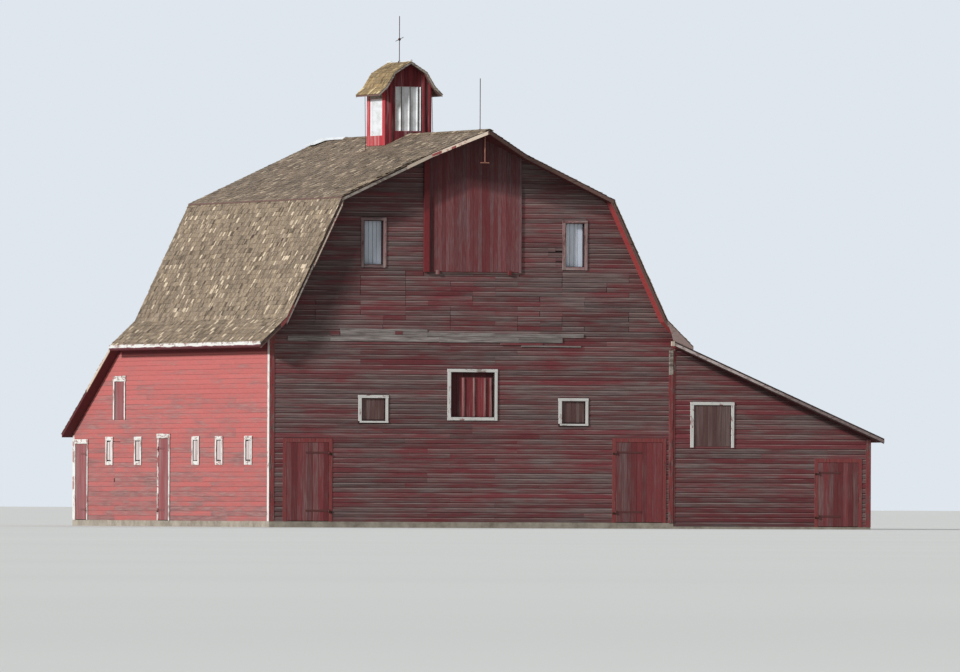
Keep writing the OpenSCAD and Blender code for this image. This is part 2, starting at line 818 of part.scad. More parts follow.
module stall_window_boards() {
    color(trim_white) for (y = stall_window_ys)
        panel_left(y, stall_window_w, stall_window_z, stall_window_h, stall_set_back);
}

module upper_window_boards() {
    color(trim_white) for (i = [0, 1])
        panel_front(upper_window_xs[i], upper_window_w, upper_window_zs[i], upper_window_h,
                    upper_set_back);
}

module shutters() {
    color(bare_wood) {
        for (i = [0, 1])
            panel_front(low_window_xs[i], low_window_w, low_window_zs[i], low_window_h,
                        shutter_set_back);
        panel_front(hatch_x, hatch_w, hatch_z, hatch_h, 0);
    }
}

module hay_door() {
    x0 = hay_door_x - hay_door_w / 2;
    x1 = hay_door_x + hay_door_w / 2;
    top = under_ridge_z - slope_gap;
    color(door_red) along_y(-hay_door_t, 0)
        polygon([[x0, hay_door_z], [x1, hay_door_z], [x1, top - x1 * upper_m],
                 [0, top], [x0, top + x0 * upper_m]]);
}

module loft_doors() {
    color(door_red) panel_front(0, loft_door_w, loft_door_z, loft_door_h, loft_set_back);
    color(siding_rose) panel_left(side_loft_y, side_loft_w, side_loft_z, side_loft_h, 0);
}

// The loft and what carries it

// rows of posts behind the front gable, and the posts in each row
post_ys = [barn_l / 3, barn_l * 2 / 3, barn_l - wall_t / 2];
post_xs = [-in_x / 3, in_x / 3];

module loft_floor() {
    color(bare_wood)
        block([-in_x, wall_t, loft_z - loft_t], [in_x, loft_rear_y, loft_z]);
}

module beams() {
    top = loft_z - loft_t;
    color(bare_wood) {
        for (y = concat(post_ys, [loft_rear_y - post_w / 2]))
            block([-in_x, y - post_w / 2, top - beam_h], [in_x, y + post_w / 2, top]);
        block([-in_x, barn_l - wall_t, gable_beam_z], [in_x, barn_l, gable_beam_z + beam_h]);
    }
}

module post(x, y, z0, z1) {
    block([x - post_w / 2, y - post_w / 2, z0], [x + post_w / 2, y + post_w / 2, z1]);
}

module posts() {
    color(bare_wood) for (x = post_xs) {
        for (y = post_ys) post(x, y, 0, loft_z - loft_t - beam_h);
        post(x, loft_rear_y - post_w / 2, 0, loft_z - loft_t - beam_h);
        post(x, barn_l - wall_t / 2, loft_z, gable_beam_z);
    }
}

// The roof vent

vent_ridge_z = ridge_z + vent_ridge_up;
vent_break_x = vent_half_x - vent_break_in;
vent_flare_x = vent_half_x + vent_flare_out;
vent_eave_x = vent_half_x + vent_eave_out;
vent_break_z = vent_ridge_z - vent_break_drop;
vent_flare_z = vent_break_z - vent_flare_drop;
vent_eave_z = vent_flare_z - vent_eave_drop;
vent_upper_m = vent_break_drop / vent_break_x;
vent_lower_m = vent_flare_drop / (vent_flare_x - vent_break_x);
vent_flare_m = vent_eave_drop / (vent_eave_x - vent_flare_x);
vent_upper_v = upright(vent_roof_t, vent_upper_m);
vent_lower_v = upright(vent_roof_t, vent_lower_m);
vent_flare_v = upright(vent_roof_t, vent_flare_m);
vent_under_break_x = vent_break_x
    - (vent_lower_v - vent_upper_v) / (vent_lower_m - vent_upper_m);
vent_under_break_z = vent_break_z + (vent_break_x - vent_under_break_x) * vent_upper_m
    - vent_upper_v;
vent_under_flare_x = vent_flare_x
    - (vent_flare_v - vent_lower_v) / (vent_flare_m - vent_lower_m);
vent_under_flare_z = vent_flare_z + (vent_flare_x - vent_under_flare_x) * vent_lower_m
    - vent_lower_v;
// underside height of the vent's steep slope at a distance x from its ridge
function vent_under(x) = vent_break_z - (x - vent_break_x) * vent_lower_m - vent_lower_v
    - slope_gap;
// height at which the vent's walls stand on the main roof
function roof_top(x) = ridge_z + slope_gap - x * upper_m;

module vent_sides() {
    outer = vent_half_x;
    inner = vent_half_x - vent_t;
    foot = roof_top(outer) + vent_side_up;
    color(siding_red) for (side = [0, 1]) mirror([side, 0, 0]) difference() {
        along_y(vent_y - vent_half_y + vent_t, vent_y + vent_half_y - vent_t)
            polygon([[-outer, roof_top(outer)], [-inner, roof_top(inner)],
                     [-inner, vent_under(outer)], [-outer, vent_under(outer)]]);
        block([-outer - eps, vent_y - vent_side_w / 2, foot],
              [-inner + eps, vent_y + vent_side_w / 2, foot + vent_side_h]);
    }
}

module vent_ends() {
    x = vent_half_x;
    foot = ridge_z + vent_front_up;
    color(siding_red) for (end = [-1, 1]) difference() {
        y = vent_y + end * (vent_half_y - vent_t / 2);
        along_y(y - vent_t / 2, y + vent_t / 2)
            polygon([[-x, roof_top(x)], [0, roof_top(0)], [x, roof_top(x)], [x, vent_under(x)],
                     [vent_under_break_x, vent_under_break_z - slope_gap],
                     [0, vent_ridge_z - vent_upper_v - slope_gap],
                     [-vent_under_break_x, vent_under_break_z - slope_gap],
                     [-x, vent_under(x)]]);
        block([-vent_front_w / 2, y - vent_t, foot],
              [vent_front_w / 2, y + vent_t, foot + vent_front_h]);
    }
}

module vent_roof() {
    y0 = vent_y - vent_half_y - vent_rake;
    y1 = vent_y + vent_half_y + vent_rake;
    color(shingle_tan) along_y(y0, y1)
        polygon([[0, vent_ridge_z], [vent_break_x, vent_break_z],
                 [vent_flare_x, vent_flare_z], [vent_eave_x, vent_eave_z],
                 [vent_eave_x, vent_eave_z - vent_flare_v],
                 [vent_under_flare_x, vent_under_flare_z],
                 [vent_under_break_x, vent_under_break_z],
                 [0, vent_ridge_z - vent_upper_v],
                 [-vent_under_break_x, vent_under_break_z],
                 [-vent_under_flare_x, vent_under_flare_z],
                 [-vent_eave_x, vent_eave_z - vent_flare_v],
                 [-vent_eave_x, vent_eave_z], [-vent_flare_x, vent_flare_z],
                 [-vent_break_x, vent_break_z]]);
}

module vent_panels() {
    side_foot = roof_top(vent_half_x) + vent_side_up;
    end_foot = ridge_z + vent_front_up;
    color(metal_white) {
        for (side = [0, 1]) mirror([side, 0, 0])
            block([-vent_half_x + vent_set_back, vent_y - vent_side_w / 2, side_foot],
                  [-vent_half_x + vent_set_back + vent_panel_t, vent_y + vent_side_w / 2,
                   side_foot + vent_side_h]);
        for (end = [-1, 1]) {
            y = vent_y + end * (vent_half_y - vent_set_back - vent_panel_t / 2);
            block([-vent_front_w / 2, y - vent_panel_t / 2, end_foot],
                  [vent_front_w / 2, y + vent_panel_t / 2, end_foot + vent_front_h]);
        }
    }
}

// The rods and the hay track

module rod(y, z, h) {
    translate([0, y, z - rod_foot]) {
        cylinder(r = rod_r, h = h + rod_foot);
        cylinder(r = rod_foot, h = 2 * rod_foot);
    }
}

module roof_rods() {
    color(dark_iron) {
        difference() {
            union() {
                rod(vent_y, vent_ridge_z, vent_rod_h);
                translate([0, vent_y, vent_ridge_z + rod_ball_up]) sphere(r = rod_ball_r);
            }
            ridge_room(vent_y, vent_ridge_z, vent_upper_m);
        }
        difference() {
            rod(-ridge_rod_out, ridge_z, ridge_rod_h);
            ridge_room(-ridge_rod_out, ridge_z, upper_m);
        }
    }
}

// room under a ridge, which a rod's foot sits astride
module ridge_room(y, z, m) {
    w = 2 * rod_foot;
    along_y(y - w, y + w)
        polygon([[0, z + slope_gap], [w, z + slope_gap - w * m],
                 [w, z - w * m - w], [-w, z - w * m - w], [-w, z + slope_gap - w * m]]);
}

module hay_track() {
    foot_z = under_ridge_z - track_drop;
    top = under_ridge_z - slope_gap;
    half_t = track_t / 2;
    color(dark_iron) {
        difference() {
            block([-half_t, -track_out - half_t, foot_z],
                  [half_t, -track_out + half_t, ridge_z]);
            along_y(-rake_overhang - hood_reach, 0)
                polygon([[0, top], [track_t, top - track_t * upper_m],
                         [track_t, ridge_z + eps], [-track_t, ridge_z + eps],
                         [-track_t, top - track_t * upper_m]]);
        }
        block([-track_bar_l / 2, -track_out - half_t, foot_z - track_t],
              [track_bar_l / 2, -track_out + half_t, foot_z]);
    }
}

// The ground doors and their hinges
// Each is drawn for a front wall, with its hinge at x = 0 and its leaf towards +X

pin_y = -trim_t - pin_out;
arm_h = 18;
arm_reach = 45;
arm_tip = 14;
eye_seat = 27;
plate_w = 50;
link_w = 19;
link_gap = 5;

function hinge_zs(d) = [d[2] + sill_gap + hinge_inset, d[3] - hinge_inset];

module door_leaf(d) {
    leaf_back = leaf_t - trim_t;
    difference() {
        union() {
            block([leaf_gap, -trim_t, d[2] + sill_gap],
                  [d[1] - leaf_gap, leaf_back, d[3] - leaf_gap]);
            for (z = hinge_zs(d)) {
                z0 = z - eye_seat + seat_gap;
                z1 = z0 + strap_h;
                block([leaf_gap, -trim_t - strap_t, z0], [d[1] * strap_share, -trim_t, z1]);
                block([link_gap, pin_y, z0], [link_gap + link_w, -trim_t, z1]);
                translate([0, pin_y, z0]) cylinder(r = eye_r, h = z1 - z0);
            }
        }
        for (z = hinge_zs(d))
            translate([0, pin_y, z - 2 * strap_h])
                cylinder(r = pin_r + pin_gap, h = 4 * strap_h);
    }
}

module door_pins(d) {
    for (z = hinge_zs(d)) {
        top = z - eye_seat;
        block([-arm_reach - plate_w, -trim_t - strap_t, top - 2 * arm_h],
              [-arm_reach + arm_tip, -trim_t, top + arm_h]);
        block([-arm_reach, pin_y - arm_tip, top - arm_h],
              [arm_tip, pin_y + arm_tip, top]);
        translate([0, pin_y, top - arm_h]) cylinder(r = pin_r, h = strap_h + 2 * arm_h);
    }
}

// carries a door to its place: wall is "front" or "left"; hinge is -1 at the
// low edge of the doorway and 1 at its high edge
module place_door(d, wall, hinge) {
    edge = hinge < 0 ? low_edge(d) : high_edge(d);
    if (wall == "front")
        translate([edge, 0, 0]) mirror([hinge < 0 ? 0 : 1, 0, 0]) children();
    else
        translate([-half_w, edge, 0]) rotate([0, 0, -90])
            mirror([hinge < 0 ? 1 : 0, 0, 0]) children();
}

module gable_door_left() {
    color(door_red) place_door(gable_left, "front", 1) door_leaf(gable_left);
}
module gable_door_right() {
    color(door_red) place_door(gable_right, "front", -1) door_leaf(gable_right);
}
module stable_door_middle() {
    color(siding_rose) place_door(stable_mid, "left", 1) door_leaf(stable_mid);
}
module stable_door_rear() {
    color(siding_rose) place_door(stable_rear, "left", -1) door_leaf(stable_rear);
}
module leanto_door() {
    color(door_red) place_door(leanto, "front", -1) door_leaf(leanto);
}

module hinge_pins() {
    color(dark_iron) {
        place_door(gable_left, "front", 1) door_pins(gable_left);
        place_door(gable_right, "front", -1) door_pins(gable_right);
        place_door(stable_mid, "left", 1) door_pins(stable_mid);
        place_door(stable_rear, "left", -1) door_pins(stable_rear);
        place_door(leanto, "front", -1) door_pins(leanto);
    }
}

foundation_ends();
foundation_sides();
front_wall_lower();
front_wall_upper();
left_wall();
right_wall();
rear_gable_wall();
leanto_front_wall();
leanto_side_wall();
leanto_rear_wall();
rear_leanto_wall();
door_lintels();
roof_upper_left();
roof_upper_right();
roof_lower_left();
roof_lower_right();
roof_flares();
leanto_roof();
rear_leanto_roof();
ridge_flashing();
barge_boards();
eave_fascias();
corner_boards();
door_trims();
window_trims();
stall_window_boards();
upper_window_boards();
shutters();
hay_door();
loft_doors();
loft_floor();
beams();
posts();
vent_sides();
vent_ends();
vent_roof();
vent_panels();
roof_rods();
hay_track();
hinge_pins();
gable_door_left();
gable_door_right();
stable_door_middle();
stable_door_rear();
leanto_door();
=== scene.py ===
"""Looks of the red barn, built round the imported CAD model.

Every length is in metres, in the frame of the CAD model: X runs to the right
along the front gable, Y to the rear and Z up.
"""

import math
import random

import bpy
import numpy as np
from mathutils import Matrix, Vector


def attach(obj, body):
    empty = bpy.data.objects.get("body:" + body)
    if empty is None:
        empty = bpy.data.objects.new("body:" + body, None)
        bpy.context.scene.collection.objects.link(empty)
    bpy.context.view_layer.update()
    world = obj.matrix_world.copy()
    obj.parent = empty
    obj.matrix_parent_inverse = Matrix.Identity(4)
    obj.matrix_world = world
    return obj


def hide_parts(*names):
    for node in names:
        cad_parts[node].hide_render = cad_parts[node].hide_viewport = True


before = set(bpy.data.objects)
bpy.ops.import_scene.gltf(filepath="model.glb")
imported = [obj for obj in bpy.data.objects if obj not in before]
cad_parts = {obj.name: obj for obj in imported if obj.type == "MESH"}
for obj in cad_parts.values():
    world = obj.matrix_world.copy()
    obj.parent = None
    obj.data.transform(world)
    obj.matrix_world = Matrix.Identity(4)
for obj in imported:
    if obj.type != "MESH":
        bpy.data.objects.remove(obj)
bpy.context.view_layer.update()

# Sizes of the CAD model that the new pieces are fitted to

HALF_W = 5.485
BARN_L = 10.58
REAR_Y = 14.82
FOUNDATION_H = 0.15
SIDE_FOUNDATION_H = 0.06
WALL_TOP_Z = 4.9215
ROOF_Y0 = -0.39
ROOF_Y1 = 10.97
HOOD_TIP_Y = -1.14
HOOD_HALF_W = 1.28
# profile of the main roof, from the ridge down, as x and z
RIDGE = (0.0, 10.10)
BREAK = (3.69, 8.39)
FLARE = (5.18, 5.32)
EAVE = (5.88, 4.66)
ROOF_RISE = (RIDGE[1] - BREAK[1]) / BREAK[0]
# the same profile along the underside of the roof slabs
UNDER_ROOF = [(0.0, 10.012), (3.641, 8.325), (5.101, 5.316), (5.88, 4.55)]
SIDE_X = 10.94
SIDE_TIP = (11.17, 2.31)
SIDE_SLOPE = 0.42249
SIDE_HEAD_X = 5.31
REAR_TIP = (14.97, 2.39)
REAR_SLOPE = 0.596
REAR_HALF_W = 5.77
SIDE_ROOF_V = 0.0763
LEAN_ROOF_V = 0.0815
TRIM_W = 0.10
TRIM_T = 0.025
# the roof vent: its walls, and its roof from the ridge down
VENT_X = 0.63
VENT_Y = (4.71, 5.99)
VENT_ROOF_Y = (4.504, 6.196)
VENT_PROFILE = [(0.0, 11.98), (0.444, 11.705), (0.67, 11.34), (0.869, 11.146)]
VENT_UNDER = [(0.0, 11.931), (0.415, 11.674), (0.63, 11.327)]
VENT_SILL_Z = 10.075
VENT_PANEL_Z = (10.2, 11.33)
VENT_POST_X = 0.352
VENT_CORNER_W = 0.18

# Doors and windows: middle, clear width, foot, head

GABLE_LEFT = (-4.465, 1.135, 0.15, 2.155)
GABLE_RIGHT = (4.563, 1.28, 0.15, 2.205)
STABLE_MIDDLE = (7.825, 0.77, 0.15, 2.27)
STABLE_REAR = (14.17, 0.86, 0.15, 2.14)
LEANTO_DOOR = (10.058, 1.113, 0.06, 1.715)
STALL_WINDOWS = [(y, 0.36, 1.68, 2.215) for y in (1.5, 3.66, 5.42, 9.785, 11.985)]
SIDE_LOFT = (11.225, 0.73, 2.76, 3.75)
UPPER_WINDOWS = [(-2.707, 0.495, 6.68, 7.78), (2.778, 0.495, 6.665, 7.765)]
LOW_WINDOWS = [(-2.692, 0.625, 2.735, 3.275), (2.757, 0.625, 2.692, 3.232)]
LOFT_DOOR = (0.0, 1.17, 2.82, 3.95)
HATCH = (6.575, 1.016, 2.11, 3.155)
HAY_DOOR_X = (-1.22, 1.29)
HAY_DOOR_Z = 6.5
HAY_POST_X = (-1.36, -1.22)

# Sizes of what this file adds

SIDING_PITCH = 0.125
SIDING_T = 0.018
STUD_PITCH = 0.61
BOARD_LENGTHS = (1.8, 4.9)
SHORTEST_BOARD = 0.3
SHINGLE_EXPOSURE = 0.128
TRIM_BASE = TRIM_T - 0.001
TRIM_OUT = TRIM_T + 0.012
# how far the painted shadow reaches down from the line of the upper slopes
SHADOW_DROP = 1.45
# and how far out from the lower slopes
SHADOW_WIDTH = 1.25
# height above which the left wall's boards are painted deep dark red: painted shade under the
# eave
EAVE_SHADE_Z = 4.42
# how far the textures of two boards can lie apart
TEXTURE_SHIFT = 50.0


def edges(d):
    """Where an opening starts and ends along its wall."""
    return d[0] - d[1] / 2, d[0] + d[1] / 2


# Node helpers

def rgb(text):
    """Linear colour from a hex colour as it shows on a screen."""
    parts = [int(text[i:i + 2], 16) / 255 for i in (1, 3, 5)]
    lin = [c / 12.92 if c <= 0.04045 else ((c + 0.055) / 1.055) ** 2.4 for c in parts]
    return (*lin, 1.0)


class Value:
    """A number in a node tree. Sums and comparisons with it make new nodes; a | b is
    the larger of two values and a & b the smaller."""

    def __init__(self, shader, socket):
        self.shader = shader
        self.socket = socket

    def __add__(self, other):
        return self.shader.math("ADD", self, other)

    def __sub__(self, other):
        return self.shader.math("SUBTRACT", self, other)

    def __mul__(self, other):
        return self.shader.math("MULTIPLY", self, other)

    def __gt__(self, other):
        return self.shader.math("GREATER_THAN", self, other)

    def __lt__(self, other):
        return self.shader.math("LESS_THAN", self, other)

    def __or__(self, other):
        return self.shader.math("MAXIMUM", self, other)

    def __and__(self, other):
        return self.shader.math("MINIMUM", self, other)

    def __abs__(self):
        return self.shader.math("ABSOLUTE", self)

    def remap(self, low, high, to_low=0.0, to_high=1.0):
        """Takes low to to_low and high to to_high, and stays level outside."""
        inputs = {"Value": self, "From Min": low, "From Max": high,
                  "To Min": to_low, "To Max": to_high}
        return Value(self.shader, self.shader.node("MapRange", inputs, clamp=True).outputs[0])


MATERIALS = {}


class Shader:
    """A node tree, with short calls for the nodes used here. x, y and z are the place
    of the point that is shaded."""

    def __init__(self, name, owner=None):
        self.owner = owner or bpy.data.materials.new(name)
        self.owner.use_nodes = True
        self.tree = self.owner.node_tree
        self.tree.nodes.clear()
        self.place = self.node("TexCoord").outputs["Object"]
        self.x, self.y, self.z = self.split(self.place)
        MATERIALS[name] = self.owner

    def node(self, kind, inputs=None, **settings):
        made = self.tree.nodes.new("ShaderNode" + kind)
        for key, value in settings.items():
            setattr(made, key, value)
        for key, value in (inputs or {}).items():
            value = getattr(value, "socket", value)
            if isinstance(value, bpy.types.NodeSocket):
                self.tree.links.new(value, made.inputs[key])
            else:
                made.inputs[key].default_value = value
        return made

    def math(self, operation, *values):
        made = self.node("Math", dict(enumerate(values)), operation=operation)
        return Value(self, made.outputs[0])

    def mix(self, factor, a, b, blend="MIX"):
        """Mixes two colours, each from another node or in hex."""
        a, b = (rgb(color) if isinstance(color, str) else color for color in (a, b))
        made = self.node("Mix", {0: factor, 6: a, 7: b}, data_type="RGBA", blend_type=blend)
        return made.outputs[2]

    def level(self, color, bright, vary):
        """Makes a colour lighter or darker by up to vary, as bright goes from 0 to 1."""
        level = bright.remap(0.0, 1.0, 1 - vary, 1 + vary)
        grey = self.node("CombineColor", {0: level, 1: level, 2: level}).outputs[0]
        return self.mix(1.0, color, grey, "MULTIPLY")

    def split(self, vector):
        made = self.node("SeparateXYZ", {"Vector": vector})
        return [Value(self, socket) for socket in made.outputs[:3]]

    def normal(self):
        """The direction in which the face looks."""
        return self.split(self.node("NewGeometry").outputs["True Normal"])

    def tint(self):
        """The four values of each board or shingle: its brightness, its wear, the shift
        of its texture, and which part of it the face is."""
        attribute = self.node("Attribute", attribute_name="tint")
        split = self.node("SeparateColor", {"Color": attribute.outputs["Color"]})
        bright, worn, shift = (Value(self, socket) for socket in split.outputs[:3])
        return bright, worn, shift * TEXTURE_SHIFT, Value(self, attribute.outputs["Alpha"])

    def noise(self, scale, detail=3.0, roughness=0.6, stretch=(1, 1, 1), shift=None):
        """Noise in 0 to 1, stretched along the axes; shift moves it for each board."""
        vector = self.place
        if shift:
            offset = self.node("CombineXYZ", {0: shift, 1: shift, 2: shift}).outputs[0]
            vector = self.node("VectorMath", {0: vector, 1: offset}, operation="ADD").outputs[0]
        vector = self.node("Mapping", {"Vector": vector, "Scale": stretch}).outputs[0]
        inputs = {"Vector": vector, "Scale": scale, "Detail": detail, "Roughness": roughness}
        return Value(self, self.node("TexNoise", inputs).outputs[0])

    def finish(self, color, rough, height=None, depth=0.002, strength=0.5, metallic=0.0,
               specular=0.25):
        inputs = {"Base Color": color, "Roughness": rough, "Metallic": metallic,
                  "Specular IOR Level": specular}
        if height:
            bump = {"Height": height, "Distance": depth, "Strength": strength}
            inputs["Normal"] = self.node("Bump", bump).outputs[0]
        shader = self.node("BsdfPrincipled", inputs)
        self.node("OutputMaterial", {"Surface": shader.outputs[0]})


def stretch_along(grain, share):
    """Scale of a texture whose marks run along the grain."""
    return [share if axis == grain else 1 for axis in "xyz"]


# Materials

def board_paint(name, grain, colors, wear=0.5, patch=0.35, vary=0.22, fineness=30.0,
                rim_highlight=0.0, groove_dirt_and_shadow=0.0, soft=0.16, eave=None, shadow_mask=None, rim_highlight_color=None):
    """Paint on boards, worn along the grain to bare wood where wear is high. colors are
    those of the paint, its dark streaks, the bare wood and its light streaks. rim
    paints a highlight on the upper edge of each board, and groove darkens the joint
    over it, as dirt and as painted shadow under the board above. eave is a height and
    a dark colour painted above it, as painted shade under the eave, and stain says
    where painted shadow darkens the boards."""
    paint, dark, bare, light = colors.split()
    s = Shader(name)
    bright, worn, shift, part = s.tint()
    streak = s.noise(fineness, 5.0, 0.65, stretch_along(grain, 0.05), shift)
    fine = s.noise(fineness * 4, 3.0, 0.7, stretch_along(grain, 0.05), shift)
    blotch = s.noise(6.0, 3.0, 0.55, stretch_along(grain, 0.12), shift)
    patches = s.noise(2.0, 4.0, 0.6, stretch_along(grain, 0.3))
    amount = (worn - 0.5) * 0.9
    for value, share in ((patches, patch * 2), (streak, 1.1), (blotch, 1.3)):
        amount = amount + (value - 0.5) * share
    color = s.mix(fine.remap(0.35, 0.68), paint, dark)
    wood = s.mix(streak.remap(0.4, 0.62), bare, light)
    color = s.mix(amount.remap(-wear - soft, -wear + soft), color, wood)
    color = s.level(color, bright, vary)
    # painted shade: boards above the given height take the given dark colour
    if eave:
        color = s.mix(s.z.remap(eave[0], eave[0] + 0.05), color, eave[1])
    # painted shadow: boards darkened towards near-black where the mask says
    if shadow_mask:
        color = s.mix(shadow_mask(s), color, "#231c1e")
    # painted highlight along the cove at each board's upper edge
    if rim_highlight:
        at_rim = s.math("COMPARE", part, 0.4, 0.2)
        color = s.mix(at_rim * blotch.remap(0.40, 0.60, 0.0, rim_highlight), color, rim_highlight_color or light)
    # near-black in the joint over each board: dirt, and painted shadow under the lip of the board
    # above
    if groove_dirt_and_shadow:
        depth = blotch.remap(0.3, 0.6, groove_dirt_and_shadow * 0.55, groove_dirt_and_shadow)
        color = s.mix((part > 0.7) * depth, color, "#1c1415")
    s.finish(color, 0.85, streak * 0.6 + fine * 0.4, 0.003, 0.6)


# colours of flaking paint, of what is under it, and of the wood
WHITE = "#f2f1ec #a8746f #a49d95"
RED = "#8c3436 #5b2f2f #8d7873"
GREY = "#b3aaa0 #6b5f58 #8c8279"
CREAM = "#dccbb8 #a9605d #b4a393"
BROWN = "#70514a #463330 #86746b"
PINK = "#ac948e #775652 #958780"
WORN = "#a67f7d #744e4d #ab9b97"
ROSY = "#d8c9c5 #9c827d #b8a8a2"
VENT_RED = "#c24a50 #8d3438 #c98683"
ROOF_UNDER = "#9c3133 #6c2729 #8a605a"
ROOF_ENDS = "#463532 #2b2221 #6e5c55"


def peel_layer(s, grain, colors, peel=0.42):
    """Colour of paint that has flaked off in spots and along the grain."""
    paint, under, wood = colors.split()
    flakes = s.noise(22.0, 6.0, 0.7, stretch_along(grain, 0.25))
    streak = s.noise(40.0, 4.0, 0.6, stretch_along(grain, 0.05))
    patches = s.noise(2.2)
    amount = (flakes + (patches - 0.5) * 0.5).remap(1.0 - peel, 1.05 - peel)
    color = s.mix(streak.remap(0.3, 0.7, 0.0, 0.4), paint, wood)
    gone = s.mix(streak.remap(0.42, 0.6), under, wood)
    return s.mix(amount, color, gone), amount * -0.6 + streak * 0.4


def peeling_paint(name, grain, colors, peel=0.42, second=None, extras=()):
    """second is a place with other colours and their own peel, and extras are places
    with one plain colour each."""
    s = Shader(name)
    color, height = peel_layer(s, grain, colors, peel)
    if second:
        where, colors, peel = second
        color = s.mix(where(s), color, peel_layer(s, grain, colors, peel)[0])
    for where, extra in extras:
        color = s.mix(where(s), color, extra)
    s.finish(color, 0.75, height, 0.002, 0.6)


def on_high_windows(s):
    return s.z > 6.3


def on_red_corners(s):
    return (s.x > 0.0) | (s.y < -0.0245)


def on_gable(s):
    return s.x > -HALF_W + 0.01


def on_right_side(s):
    return s.x > 11.0


def on_rear_leanto(s):
    return (s.y > ROOF_Y1 - 0.002) * (abs(s.x) > HALF_W)


def on_trim_edges(s):
    """The narrow sides, towards the front, of the trims on the left wall."""
    return (s.normal()[1] < -0.5) * (s.x < -HALF_W)


def on_lost_trim(s):
    """The rear trim of the middle stable door, of which only bits are left."""
    jamb = edges(STABLE_MIDDLE)[1]
    lost = s.noise(3.1, 4.0, 0.7, (0.2, 0.2, 1.0)) > 0.50
    behind = (s.y > jamb - 0.005) * (s.y < jamb + TRIM_W + 0.01)
    return lost * behind * (s.z < STABLE_MIDDLE[3] - 0.12) * (s.x < -HALF_W)


def on_rear_corner(s):
    """Flaked spots on the white board at the rear end of the left wall."""
    return (s.noise(4.0, 5.0, 0.7, (0.3, 0.3, 1.0)) > 0.54) * (s.y > 14.5)


def hood_shadow(s):
    """Painted shadow of the hay hood and the right roof edge on the boards under them."""
    left, right = (s.x * rise + (RIDGE[1] - SHADOW_DROP) for rise in (ROOF_RISE, -0.19))
    return (s.z - (left & right)).remap(-0.07, 0.07, 0.0, 0.45)


def hay_door_shadows(s):
    """Painted shadow under the hood, and beside the post at the door's left edge, where the
    post's shadow falls.
    """
    return hood_shadow(s) | s.x.remap(HAY_POST_X[1] + 0.16, HAY_POST_X[1] + 0.12, 0.0, 0.55)


def front_wall_shadows(s):
    """Painted shadow on the boards of the front walls close under the roofs' edges: the shadows
    of the left roof edge, the hay hood and the side lean-to's rake.
    """
    run = (FLARE[0] - BREAK[0]) / (BREAK[1] - FLARE[1])
    under = (s.z - (s.x * ROOF_RISE + (RIDGE[1] - SHADOW_DROP))).remap(-0.1, 0.1)
    beside = (s.z * run + (SHADOW_WIDTH - BREAK[0] - BREAK[1] * run) - s.x).remap(-0.1, 0.1)
    left = s.z.remap(4.6, 5.1, 0.0, 0.4) * (under | beside) * (s.x < HAY_POST_X[1])
    right = hood_shadow(s) * (s.x > HAY_DOOR_X[1])
    side_roof = s.x * -SIDE_SLOPE + (SIDE_TIP[1] + SIDE_TIP[0] * SIDE_SLOPE - 0.2)
    band = (s.z - side_roof).remap(-0.02, 0.02, 0.0, 0.6) * (s.x > HALF_W)
    return (left | right | band) * (s.y < 1.0)


def loft_door_shadows(s):
    """Painted shadow at the left and the top of the loft door, cast by its deep frame."""
    edge = edges(LOFT_DOOR)[0] + 0.3
    left = s.x.remap(edge + 0.015, edge - 0.015)
    return (left | s.z.remap(LOFT_DOOR[3] - 0.145, LOFT_DOOR[3] - 0.105)) * 0.75


def left_frame_shadow(s):
    """Painted shadow on the left upper window's frame, on the side under the roof's edge."""
    return s.x.remap(-2.42, -2.50, 0.0, 0.5)


def on_outer_rake(s):
    """The outer half of the side roof's rake boards, worn darker."""
    return s.x.remap(7.4, 8.8, 0.0, 0.7)


def fascia_foot_shade(s):
    """The lower edge of the left eave's fascia, painted dark along a wavy line: painted shade
    under the eave.
    """
    wave = s.noise(1.3, 3.0, 0.6, (0.0, 1.0, 0.0))
    edge = wave.remap(0.3, 0.7, EAVE[1] - 0.065, EAVE[1] - 0.03)
    return (s.z < edge) * (s.x < -EAVE[0])


def roof_core():
    """Red undersides of the roofs, with dark weathered wood on their tops and ends. The
    undersides of the upper slopes and hood, of the side lean-to's roof and of the left flare are
    painted near-black: painted shade.
    """
    s = Shader("roof_core")
    under, height = peel_layer(s, "y", ROOF_UNDER, 0.36)
    ends, _ = peel_layer(s, "x", ROOF_ENDS, 0.45)
    _, way_y, way_z = s.normal()
    # painted shade: near-black on the undersides of the side lean-to's roof, the upper slopes
    # with the hood, and the left flare
    side = (s.x > HALF_W + 0.1) * (s.z < 4.7) * 0.8
    under = s.mix(s.z.remap(BREAK[1] - 0.3, BREAK[1], 0.0, 0.8) | side, under, "#3b2527")
    under = s.mix((s.x < -FLARE[0] + 0.1) * 0.8, under, "#46272c")
    at_end = (abs(way_y) > 0.6) | (way_z > 0.1)
    s.finish(s.mix(at_end, under, ends), 0.85, height, 0.002, 0.5)


